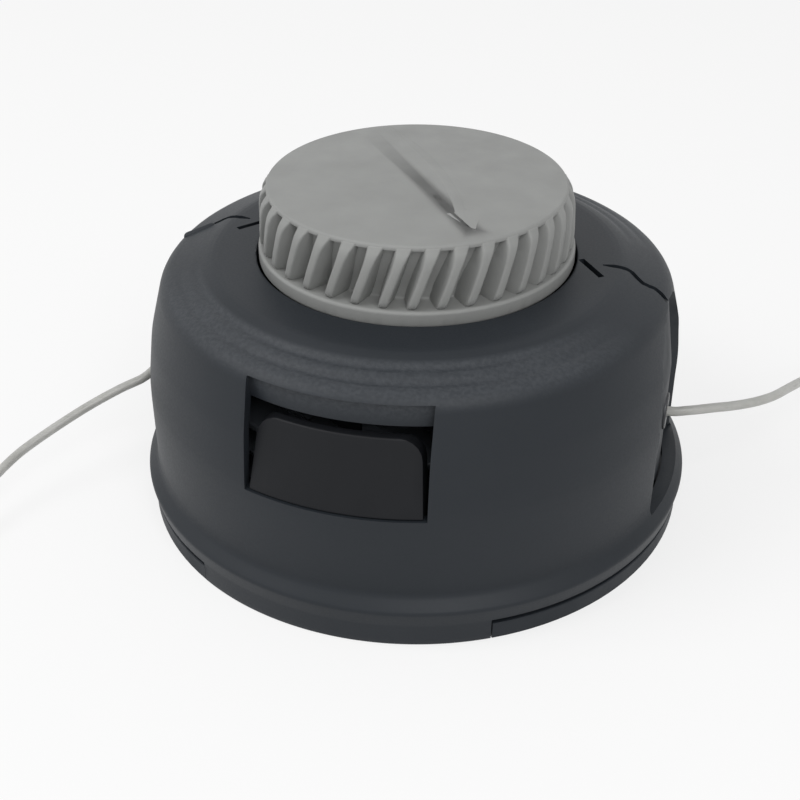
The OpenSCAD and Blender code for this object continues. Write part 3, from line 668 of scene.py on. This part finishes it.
@dataclass
class CuttingLine:
    """The free end of one line, which leaves its eyelet and lies down on the floor."""

    side: Side
    diameter: float = 2.0
    route: dict[Side, list[tuple[float, float, float]]] = field(default_factory=lambda: {
        Side.RIGHT: [(49.8, 0, 25), (53, 0, 25), (56, 0, 25.1), (58.5, 0.6, 25.4), (61, 1.8, 25.4),
                     (64, 3.7, 25.2), (67, 5.8, 24.8), (70, 8.2, 24.4), (73, 11.2, 23.9), (76, 15, 23.4),
                     (79.4, 21.2, 22.5), (82.3, 27.6, 20.9), (84.9, 34.4, 18.6), (87.1, 41.2, 15.8),
                     (89, 48, 12.7), (90.7, 55, 9.6), (92.2, 62, 6.7), (93.4, 69, 4.2), (94.4, 75.5, 2.4),
                     (95.1, 82, 1.3), (95.5, 87, 1)],
        Side.LEFT: [(-49.8, 0, 25), (-53, 0, 25), (-55.3, -0.1, 24.9), (-57.3, -2.2, 23.2), (-58.9, -6.2, 20.8),
                    (-60.9, -10.4, 19), (-65.1, -14.2, 17.5), (-70, -19.4, 15.5), (-74.4, -25.4, 13.5),
                    (-78.4, -31.8, 11.5), (-80.5, -36.4, 10.2), (-82.4, -43, 8.2), (-83, -50, 6),
                    (-82.2, -57, 4), (-79.8, -63.5, 2.4), (-76, -69.4, 1.4), (-71.2, -74.6, 1)]})

    def path(self, steps: int = 5) -> list[Vector]:
        """The middle line as close points on a smooth curve through the route's points."""
        points = [Vector(p) * MM for p in self.route[self.side]]
        points = [points[0] * 2 - points[1], *points, points[-1] * 2 - points[-2]]
        out: list[Vector] = []
        for a, b, c, d in zip(points, points[1:], points[2:], points[3:]):
            for k in range(steps):
                t = k / steps
                out.append(0.5 * (2 * b + (c - a) * t + (2 * a - 5 * b + 4 * c - d) * t * t
                                  + (3 * b - a - 3 * c + d) * t ** 3))
        return out + [points[-2]]

    def build(self, material: bpy.types.Material) -> bpy.types.Object:
        """Args:
            material: The line's finish.

        Returns:
            The curve object.
        """
        path = self.path()
        name = f"line_{self.side.name.lower()}"
        curve = bpy.data.curves.new(name, "CURVE")
        curve.dimensions = "3D"
        curve.bevel_depth = self.diameter / 2 * MM
        curve.bevel_resolution = 5
        curve.use_fill_caps = True
        spline = curve.splines.new("POLY")
        spline.points.add(len(path) - 1)
        for point, place in zip(spline.points, path):
            point.co = (*place, 1.0)
        spline.use_smooth = True
        curve.materials.append(material)
        piece = bpy.data.objects.new(name, curve)
        bpy.context.scene.collection.objects.link(piece)
        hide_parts(f"line_end_{self.side.name.lower()}")
        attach(piece, "housing")
        return piece


@dataclass
class CapShell:
    """The cap: skirt, flare, wall, stepped dome, windows, arched bays and seams; sizes in millimetres."""

    opening: float = 33.0
    top: float = 55.5
    shoulder: float = 42.0
    brow: Point2 = (52.6, 51.4)
    neck: Point2 = (55.6, 40.0)
    wall: Point2 = (57.0, 29.5)
    flare: float = 11.0
    bulge: Point2 = (59.3, 8.4)
    skirt: float = 58.4
    thickness: float = 2.4
    dome_thickness: float = 2.6
    tube: Point2 = (35.5, 36.7)
    teeth_out: float = 38.3
    window: float = 17.7
    sill: float = 28.4
    lintel: float = 45.6
    recess_top: float = 50.7
    recess_floor: float = 51.3
    lip: float = 2.3
    bay: float = 10.2
    bay_foot: float = 14.0
    splay: float = 25.0
    arch_top: float = 51.0
    tower: float = 50.4
    slit: float = 5.0
    full_skirt: float = 30.3
    steps: tuple[tuple[float, float, float], ...] = ((45.4, 0.55, 0.85), (48.6, 0.5, 0.8))
    steps_reach: float = 68.0
    bay_floor: float = 50.4
    bay_mouth: float = 54.6
    bay_slant: float = 0.2
    bay_arch: tuple[Point2, ...] = (
        (17.0, 10.4), (16.8, 24.0), (15.8, 32.0), (14.5, 38.0), (13.1, 42.5), (11.4, 46.0), (8.9, 48.8), (5.5, 50.4))
    channel: float = 1.3
    channel_depth: float = 0.9
    channel_path: tuple[Point2, ...] = (
        (38.2, 2.7), (40.2, 2.8), (42.0, 2.9), (43.2, 3.1), (44.1, 2.9), (45.3, 1.7), (46.6, 0.7), (47.8, 0.7),
        (49.2, 0.9), (50.3, 0.3), (51.4, -0.6), (52.4, -1.2))
    slit_middle: Point2 = (36.2, 0.7)
    slit_size: Point2 = (8.4, 1.3)
    bead_from: Point2 = (46.5, 0.6)
    bead_to: Point2 = (50.9, -1.9)
    segments: int = 360

    def dome(self, r: float) -> float:
        """Height of the plain dome at a radius."""
        if r < self.shoulder:
            return self.top
        return self.top - (self.top - self.brow[1]) * (r - self.shoulder) / (self.brow[0] - self.shoulder)

    def outline(self) -> list[Point2]:
        """The section of the shell."""
        t = self.thickness
        sharp = rounded([
            (self.opening, self.top, 0.3), (self.shoulder, self.top, 6), (*self.brow, 4.5), (*self.neck, 24),
            (*self.wall, 40), (self.wall[0], self.flare, 2.2), (*self.bulge, 1.2), (self.skirt + 0.2, 5, 3),
            (self.skirt, 0, 0.5),
            (self.skirt - t, 0, 0.3), (self.bulge[0] - t - 0.6, self.bulge[1] - 1.2, 1),
            (self.wall[0] - t, self.flare - 1, 1), (self.wall[0] - t, self.wall[1]),
            (self.neck[0] - t, self.neck[1]), (self.brow[0] - t, self.brow[1] - self.dome_thickness, 1),
            (self.shoulder - 1, self.top - self.dome_thickness, 4),
            (self.tube[0], self.top - self.dome_thickness, 1), (self.tube[0], self.tube[1] + 2),
            (self.teeth_out, self.tube[1] + 2, 0.6), (self.teeth_out, self.tube[1]),
            (self.opening, self.tube[1])])

        def step(a: Point2, b: Point2) -> float:
            """Fine pieces on the dome, middling ones on the wall and coarse ones inside."""
            if min(a[1], b[1]) > 50.2 and max(a[0], b[0]) > 40:
                return 0.3
            outside = min(a[0], b[0]) > 54.9 or min(a[1], b[1]) > 50.2
            return 1.2 if outside else 6.0

        return refined(sharp, step)

    def step_drop(self, r: float, azimuth: float) -> float:
        """How far the steps lower the dome at a place, deepest over the windows."""
        off = min(abs((azimuth + 180) % 360 - 180), 180 - abs((azimuth + 180) % 360 - 180))
        reach = math.cos(math.radians(self.steps_reach))
        share = max(0.0, (math.cos(math.radians(off)) - reach) / (1 - reach)) ** 0.8
        return share * sum(d * math.exp(-((r - at) / w) ** 2) for at, d, w in self.steps)

    def shape_steps(self, bm: bmesh.types.BMesh) -> None:
        """Lowers the dome's points along the steps."""
        for v in bm.verts:
            r = math.hypot(v.co.x, v.co.y)
            if r > 40 and v.co.z > 49.6 and r < 53.4 and v.co.z > self.dome(r) - 1.4:
                v.co.z -= self.step_drop(r, math.degrees(math.atan2(v.co.x, -v.co.y)))

    def window_cutter(self) -> bmesh.types.BMesh:
        """The open window."""
        return block(Vector((-self.window, -70, self.sill)), Vector((self.window, -44, self.lintel)))

    def recess_cutter(self) -> bmesh.types.BMesh:
        """The finger recess over the window."""
        box = [(self.recess_floor, self.lintel - 0.1), (62, self.lintel - 0.1), (62, self.recess_top),
               (self.recess_floor, self.recess_top)]
        bm = turned(box, 50, -25.0, 50.0)
        trimmed(bm, Vector((self.window, 0, 0)), Vector((1, 0, 0)))
        trimmed(bm, Vector((-self.window, 0, 0)), Vector((-1, 0, 0)))
        return bm

    def arch(self, gap: float = 0.0) -> list[Point2]:
        """The outline of a bay as (y, z), with a gap all round."""
        w = self.bay - gap
        arc = [(w * math.cos(math.radians(a)), self.arch_top - self.bay + w * math.sin(math.radians(a)))
               for a in range(0, 181, 6)]
        return [(-(self.bay_foot - gap), self.flare - 0.6), (self.bay_foot - gap, self.flare - 0.6),
                (w, self.splay), *arc, (-w, self.splay)]

    def bay_cutter(self) -> bmesh.types.BMesh:
        """The arched bay on the right."""
        return pushed([Vector((self.tower - 1.2, y, z)) for y, z in self.arch()], Vector((14, 0, 0)))

    def wide_arch(self) -> bmesh.types.BMesh:
        """The wide recess round the bay on the right, with slanting sides."""
        rear = list(self.bay_arch)
        outline = [(-y, z) for y, z in rear] + [(0.0, self.arch_top)] + rear[::-1]
        bm = pushed([Vector((self.bay_floor, y, z)) for y, z in outline], Vector((14, 0, 0)))
        for v in bm.verts:
            v.co.y *= 1 + self.bay_slant * (v.co.x - self.bay_mouth) / (self.bay_mouth - self.bay_floor)
        return bm

    def bay_plate(self) -> bmesh.types.BMesh:
        """The floor of the wide recess, level with the tower's face and open round the tower."""
        half = [(21.2, 12.0), (21.2, 29.5), (17.6, 40.0), (14.2, 46.0), (10.5, 49.6)]
        outline = [(-y, z) for y, z in half] + half[::-1]
        bm = pushed([Vector((self.bay_floor - 1.0, y, z)) for y, z in outline], Vector((1, 0, 0)))
        plate = as_object("bay_plate", bm)
        cut(plate, [self.bay_cutter()])
        out = bmesh.new()
        out.from_mesh(plate.data)
        mesh = plate.data
        bpy.data.objects.remove(plate)
        bpy.data.meshes.remove(mesh)
        return out

    def skirt_cutter(self) -> bmesh.types.BMesh:
        """The stretch below the slit on the right."""
        box = [(53.5, -2), (64, -2), (64, self.slit), (53.5, self.slit)]
        return turned(box, 118, self.full_skirt, 180 - 2 * self.full_skirt)

    def seam_cutter(self) -> bmesh.types.BMesh:
        """The slanting slit near the knob on the right."""
        half = Vector((*self.slit_size, 0.0)) / 2
        bm = block(-half - Vector((0, 0, 1.4)), half + Vector((0, 0, 2)))
        turned_about_z(bm, -51.2)
        bmesh.ops.translate(bm, vec=(*self.slit_middle, self.top), verts=bm.verts)
        return bm

    def channel_cutter(self) -> bmesh.types.BMesh:
        """The wavy seam that runs from the bay over the dome on the right."""
        path = [Vector(p) for p in self.channel_path]
        left: list[Vector] = []
        right: list[Vector] = []
        for i, p in enumerate(path):
            way = path[min(i + 1, len(path) - 1)] - path[max(i - 1, 0)]
            thin = 0.35 if i == 0 else 1.0
            across = Vector((-way.y, way.x)).normalized() * self.channel / 2 * thin
            left.append(p + across)
            right.append(p - across)
        high = self.top + 3
        bm = pushed([Vector((p.x, p.y, high)) for p in left + right[::-1]], Vector((0, 0, -14)))
        bmesh.ops.triangulate(bm, faces=bm.faces)
        for v in bm.verts:
            if v.co.z < high - 1:
                v.co.z = self.dome(v.co.x) - self.channel_depth
        return bm

    def lip_part(self, face: Face) -> bmesh.types.BMesh:
        """The wall behind a finger recess."""
        box = rounded([(self.recess_floor - self.lip, self.lintel, 0.3), (self.recess_floor + 0.02, self.lintel, 0.3),
                       (self.recess_floor + 0.02, self.recess_top + 0.2), (self.recess_floor - self.lip, 51.4)])
        return turned_about_z(turned(box, 46, -23.0, 46.0), face.value)

    def tooth_parts(self) -> bmesh.types.BMesh:
        """The teeth under the tube that hold the spool."""
        mid = 35.8
        length = math.tau * mid / 12 * 0.43
        saw = [(-0.2, 0.0), (-length, 0.0), (-length * 0.35, -2.8), (-0.2, -2.8)]
        bm = pushed([Vector((33.3, y, self.tube[1] + z)) for y, z in saw], Vector((4.9, 0, 0)))
        return spun_copies(bm, 12)

    def bead_part(self) -> bmesh.types.BMesh:
        """The soft bump at the seam's end over the bay, as it would be on the right."""
        bm = bmesh.new()
        bmesh.ops.create_uvsphere(bm, u_segments=20, v_segments=12, radius=1.0)
        start, end = (Vector((x, y, self.dome(x) - 0.45)) for x, y in (self.bead_from, self.bead_to))
        way = end - start
        bmesh.ops.rotate(bm, cent=(0, 0, 0), matrix=way.to_track_quat("Z", "Y").to_matrix(), verts=bm.verts)
        for v in bm.verts:
            v.co += end if v.co.dot(way) > 0 else start
        return bm

    def build(self, material: bpy.types.Material) -> bpy.types.Object:
        """Builds the cap.

        Args:
            material: Its finish.

        Returns:
            The piece, which stands for the CAD's cap.
        """
        shell = turned(self.outline(), self.segments)
        self.shape_steps(shell)
        piece = as_object("cap_shell", shell)
        first: list[bmesh.types.BMesh] = []
        second: list[bmesh.types.BMesh] = []
        third = [self.mirrored(self.wide_arch(), side) for side in Side]
        for face in Face:
            first += [turned_about_z(self.window_cutter(), face.value)]
            second += [turned_about_z(self.recess_cutter(), face.value)]
        for side in Side:
            for maker, group in ((self.bay_cutter, first), (self.skirt_cutter, first), (self.seam_cutter, first),
                                 (self.channel_cutter, second)):
                group.append(self.mirrored(maker(), side))
        cut(piece, [joined(first), joined(second), joined(third)])
        soften(piece, 0.22, 0.32, lambda p: math.hypot(p.x, p.y) > 38.0 or p.z > 54.0)
        extra = [self.lip_part(face) for face in Face] + [self.mirrored(self.bay_plate(), side) for side in Side]
        extra += [self.mirrored(self.bead_part(), Side.LEFT), self.tooth_parts()]
        whole = joined(extra)
        whole.from_mesh(piece.data)
        whole.to_mesh(piece.data)
        whole.free()
        finished(piece, material)
        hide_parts("cap")
        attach(piece, "housing")
        LOG.info("cap built with %d faces", len(piece.data.polygons))
        return piece

    @staticmethod
    def mirrored(bm: bmesh.types.BMesh, side: Side) -> bmesh.types.BMesh:
        """The mesh as it is for the right side, or mirrored for the left one."""
        if side is Side.LEFT:
            bmesh.ops.scale(bm, vec=(-1, 1, 1), verts=bm.verts)
            bmesh.ops.reverse_faces(bm, faces=bm.faces)
        return bm


@dataclass
class BumpKnob:
    """The knob: flange, slanting ribs, thin top rim, curved arrow and hidden neck; sizes in millimetres."""

    flange: Point2 = (32.5, 54.8)
    flange_thickness: float = 3.2
    core: float = 27.0
    core_top: float = 29.3
    radius: float = 30.4
    top: float = 70.6
    band: float = 0.4
    edge: float = 0.35
    disc: float = 67.7
    wall: float = 2.6
    neck: Point2 = (28.8, 33.6)
    neck_inner: float = 26.8
    boss: tuple[float, float, float, float] = (6.3, 11.0, 65.6, 60.35)
    ribs: int = 36
    rib_reach: tuple[Point2, ...] = (
        (57.9, 31.2), (58.4, 31.8), (59.2, 32.1), (62.0, 32.1), (66.5, 31.9), (68.2, 31.6), (69.2, 31.1), (69.9, 30.5))
    rib_root: tuple[Point2, ...] = ((0.0, 3.2), (1.0, 3.5))
    rib_nose: tuple[Point2, ...] = ((0.0, 1.5), (0.1, 1.75), (0.7, 1.8), (0.86, 2.2), (1.0, 3.0))
    rib_phase: float = 14.0
    rib_lean: float = 7.8
    arrow_centre: Point2 = (-73.2, -44.5)
    arrow_radius: float = 91.1
    arrow_width: tuple[float, float] = (2.4, 2.8)
    arrow_sweep: Point2 = (19.4, 50.1)
    arrow_limit: float = 29.0
    arrow_head: tuple[Point2, Point2, Point2] = ((9.5, -14.2), (15.7, -9.0), (17.2, -20.5))
    arrow_depth: float = 2.3
    segments: int = 288

    def outline(self) -> list[Point2]:
        """The section of the knob without its ribs."""
        rib_z = self.flange[1] + self.flange_thickness
        inner = self.core - self.wall
        sharp = rounded([
            (0.01, self.boss[3]), (5.9, self.boss[3], 0.4), (5.9, self.disc), (self.boss[0], self.disc),
            (self.boss[0], self.boss[2]), (self.boss[1], self.boss[2], 0.3), (self.boss[1], self.disc),
            (inner, self.disc, 1),
            (inner, self.flange[1] + 1, 1), (self.neck_inner, self.flange[1] - 4),
            (self.neck_inner, self.neck[1], 0.3),
            (self.neck[0], self.neck[1], 0.3), (self.neck[0], self.flange[1] - 0.5, 0.4),
            (self.flange[0], self.flange[1], 0.5), (self.flange[0], rib_z, 0.7), (self.core, rib_z, 0.5),
            (self.core, rib_z + 2.5, 8), (self.core_top, self.top - self.band - 0.9, 0.4),
            (self.radius, self.top - self.band - 0.7, 0.2), (self.radius, self.top - self.band, 0.3),
            (self.radius - self.edge, self.top, 0.3), (0.01, self.top)])
        return refined(sharp, lambda a, b: 3.0)

    def rib_part(self) -> bmesh.types.BMesh:
        """One rib, wide at its root, that leans round the core as it rises."""
        foot, head = self.flange[1] + self.flange_thickness - 0.1, self.top - self.band
        bm = bmesh.new()
        bmesh.ops.create_cube(bm, size=1.0)
        upright = [e for e in bm.edges if abs((e.verts[0].co - e.verts[1].co).z) > 0.5]
        bmesh.ops.subdivide_edges(bm, edges=upright, cuts=20, use_grid_fill=True)
        for v in bm.verts:
            t = v.co.z + 0.5
            out = v.co.x > 0
            reach = between(self.rib_reach, foot + (head - foot) * t)
            side = math.copysign(between(self.rib_nose if out else self.rib_root, t) / 2, v.co.y)
            inside = self.core - 0.8 + (self.core_top - self.core + 0.5) * t
            v.co = Vector((reach if out else inside, side, foot + (head - foot) * t))
        bmesh.ops.recalc_face_normals(bm, faces=bm.faces)
        nose = [e for e in bm.edges if min(v.co.x for v in e.verts) > self.core + 1
                and e.calc_face_angle(0.0) > math.radians(30)]
        bmesh.ops.bevel(bm, geom=nose, offset=0.4, offset_type="OFFSET", segments=3, profile=0.5,
                        affect="EDGES", clamp_overlap=True, material=-1)
        for v in bm.verts:
            turn = self.rib_lean * (v.co.z - foot) / (head - foot)
            v.co = Matrix.Rotation(math.radians(turn), 3, "Z") @ v.co
        return turned_about_z(bm, self.rib_phase - 90)

    def arrow_cutters(self) -> list[bmesh.types.BMesh]:
        """The arrow's curved shaft and its head."""
        centre = Vector((*self.arrow_centre, 0.0))
        a0, a1 = self.arrow_sweep
        low, high = self.top - self.arrow_depth, self.top + 1
        box = [(self.arrow_radius - 1, low), (self.arrow_radius + 1, low), (self.arrow_radius + 1, high),
               (self.arrow_radius - 1, high)]
        shaft = turned(box, 44, a0 + 90, a1 - a0)
        for v in shaft.verts:
            flat = Vector((v.co.x, v.co.y, 0))
            t = (math.degrees(math.atan2(v.co.y, v.co.x)) - a0) / (a1 - a0)
            width = self.arrow_width[0] + (self.arrow_width[1] - self.arrow_width[0]) * t
            reach = self.arrow_radius + math.copysign(width / 2, flat.length - self.arrow_radius)
            spot = flat.normalized() * reach + centre
            rise = 0.95 * max(0.0, t - 0.7) / 0.3 if v.co.z < self.top else 0.0
            v.co = spot * min(1.0, self.arrow_limit / spot.length) + Vector((0, 0, v.co.z + rise))
        head = pushed([Vector((x, y, low + 0.003)) for x, y in self.arrow_head], Vector((0, 0, high - low)))
        return [shaft, head]

    def build(self, material: bpy.types.Material) -> bpy.types.Object:
        """Builds the knob.

        Args:
            material: Its finish.

        Returns:
            The piece, which stands for the CAD's knob.
        """
        body = turned(self.outline(), self.segments)
        bmesh.ops.remove_doubles(body, verts=[v for v in body.verts if math.hypot(v.co.x, v.co.y) < 0.05], dist=0.1)
        piece = as_object("knob_body", body)
        cut(piece, self.arrow_cutters())
        bm = bmesh.new()
        bm.from_mesh(piece.data)
        flat = [v for v in bm.verts if v.co.z > self.top - 0.001]
        bmesh.ops.dissolve_limit(bm, angle_limit=math.radians(0.4), verts=flat,
                                 edges=[e for e in bm.edges if min(v.co.z for v in e.verts) > self.top - 0.001])
        bm.to_mesh(piece.data)
        bm.free()
        soften(piece, 0.22, 0.3, lambda p: p.z > 70.3 and math.hypot(p.x, p.y) < 29.8)
        whole = spun_copies(self.rib_part(), self.ribs)
        whole.from_mesh(piece.data)
        whole.to_mesh(piece.data)
        whole.free()
        finished(piece, material)
        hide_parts("bump_knob")
        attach(piece, "spool")
        LOG.info("knob built with %d faces", len(piece.data.polygons))
        return piece


@dataclass
class Latch:
    """One latch, a softened copy of the CAD's own."""

    face: Face
    rounding: float = 0.24

    def build(self, material: bpy.types.Material) -> bpy.types.Object:
        """Builds the latch.

        Args:
            material: Its finish.

        Returns:
            The piece, which stands for the CAD's latch.
        """
        node = f"latch_{self.face.name.lower()}"
        bm = bmesh.new()
        bm.from_mesh(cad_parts[node].data)
        bmesh.ops.scale(bm, vec=(1 / MM,) * 3, verts=bm.verts)
        bmesh.ops.remove_doubles(bm, verts=bm.verts, dist=0.002)
        bmesh.ops.dissolve_limit(bm, angle_limit=math.radians(0.6), verts=bm.verts, edges=bm.edges)
        edges = [e for e in bm.edges if e.is_manifold and e.calc_face_angle(0.0) > math.radians(35)
                 and (e.verts[0].co.z + e.verts[1].co.z) / 2 > 29.4]
        bmesh.ops.bevel(bm, geom=edges, offset=self.rounding, offset_type="OFFSET", segments=3, profile=0.5,
                        affect="EDGES", clamp_overlap=True, material=-1, loop_slide=True)
        piece = finished(as_object(f"latch_pad_{self.face.name.lower()}", bm), material)
        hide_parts(node)
        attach(piece, node)
        LOG.info("%s built with %d faces", piece.name, len(piece.data.polygons))
        return piece


@dataclass
class BumpSpring:
    """The spring under the knob, a round wire with close coils at both ends; sizes in millimetres."""

    radius: float = 8.2
    wire: float = 0.8
    coils: float = 6.0
    dead: float = 0.9
    low: float = 38.0
    high: float = 64.35
    keep: float = 0.772
    per_turn: int = 40

    def height(self, turn: float) -> float:
        """Height of the wire's middle after a number of turns."""
        low, high = self.low + self.wire, self.high - self.wire
        flat = 2 * self.wire * self.dead * 1.03
        if turn <= self.dead:
            return low + flat * turn / self.dead
        if turn >= self.coils + self.dead:
            return high - flat * (self.coils + 2 * self.dead - turn) / self.dead
        return low + flat + (high - low - 2 * flat) * (turn - self.dead) / self.coils

    def build(self, material: bpy.types.Material) -> bpy.types.Object:
        """Builds the spring at one fixed length; the real spring shortens as the knob goes down, but this one does
        not.

        Args:
            material: Its finish.

        Returns:
            The piece, which stands for the CAD's spring.
        """
        bm = bmesh.new()
        bmesh.ops.create_circle(bm, segments=14, radius=self.wire, cap_ends=True)
        bmesh.ops.rotate(bm, cent=(0, 0, 0), matrix=Matrix.Rotation(math.radians(90), 3, "X"), verts=bm.verts)
        bmesh.ops.translate(bm, vec=(self.radius, 0, 0), verts=bm.verts)
        steps, lift = round((self.coils + 2 * self.dead) * self.per_turn), 4.0
        geom = bm.verts[:] + bm.edges[:] + bm.faces[:]
        bmesh.ops.spin(bm, geom=geom, cent=(0, 0, 0), axis=(0, 0, 1), dvec=(0, 0, lift),
                       angle=math.tau * steps / self.per_turn, steps=steps, use_duplicate=False)
        for v in bm.verts:
            step = round(v.co.z / lift)
            v.co.z += self.height(step / self.per_turn) - lift * step
        bmesh.ops.recalc_face_normals(bm, faces=bm.faces)
        piece = finished(as_object("bump_spring", bm), material, 60.0)
        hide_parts("spring")
        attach(piece, "housing")
        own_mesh(piece)
        LOG.info("spring built with %d faces", len(piece.data.polygons))
        return piece


@dataclass
class CadDress:
    """Finishes for the CAD nodes that keep their own shape."""

    finishes: dict[str, bpy.types.Material]

    def build(self) -> None:
        """Gives each node its material."""
        for node, material in self.finishes.items():
            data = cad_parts[node].data
            data.materials.clear()
            data.materials.append(material)
            LOG.info("dressed %s", node)


def main() -> None:
    """Builds the whole scene, camera and cords first."""
    logging.basicConfig(level=logging.INFO, format="%(name)s: %(message)s")
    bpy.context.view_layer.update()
    bpy.context.scene.view_settings.view_transform = "Standard"
    PhotoCamera().build()
    line = LineNylon("line_nylon", (0.46, 0.46, 0.44), (0.4, 0.4, 0.38)).make()
    for side in Side:
        CuttingLine(side).build(line)
    # The third colour of the cap's plastic is a painted highlight on the steps of the dome near the windows.
    CapShell().build(SparkPlastic(
        "cap_plastic", (0.0175, 0.021, 0.026), (0.0155, 0.019, 0.0235), (0.044, 0.049, 0.056), 0.5).make())
    latch = MouldedPlastic("latch_plastic", (0.008, 0.0088, 0.0108), (0.007, 0.0077, 0.0094), 0.48, shine=0.2).make()
    for face in Face:
        Latch(face).build(latch)
    BumpKnob().build(MouldedPlastic("knob_plastic", (0.28, 0.285, 0.278), (0.258, 0.262, 0.256), 0.55).make())
    housing = MouldedPlastic("housing_plastic", (0.0175, 0.021, 0.026), (0.0155, 0.019, 0.0235), 0.56,
                             shine=0.2).make()
    spool = MouldedPlastic("spool_plastic", (0.1, 0.11, 0.125), (0.085, 0.095, 0.11), 0.4).make()
    eyelet = WorkedMetal("eyelet_metal", (0.075, 0.076, 0.08), (0.055, 0.056, 0.06), 0.45).make()
    BumpSpring().build(WorkedMetal("spring_steel", (0.55, 0.56, 0.58), (0.42, 0.43, 0.45), 0.28).make())
    CadDress({
        "base_housing": housing, "spool": spool, "eyelet_right": eyelet, "eyelet_left": eyelet,
        "arbor_nut": WorkedMetal("nut_steel", (0.52, 0.52, 0.54), (0.42, 0.42, 0.45), 0.35).make(),
        "thrust_washer": WorkedMetal("washer_steel", (0.6, 0.61, 0.63), (0.5, 0.51, 0.53), 0.32).make(),
        "winding_lower": line, "winding_upper": line,
    }).build()
    Studio().build()


if __name__ == "__main__":
    main()
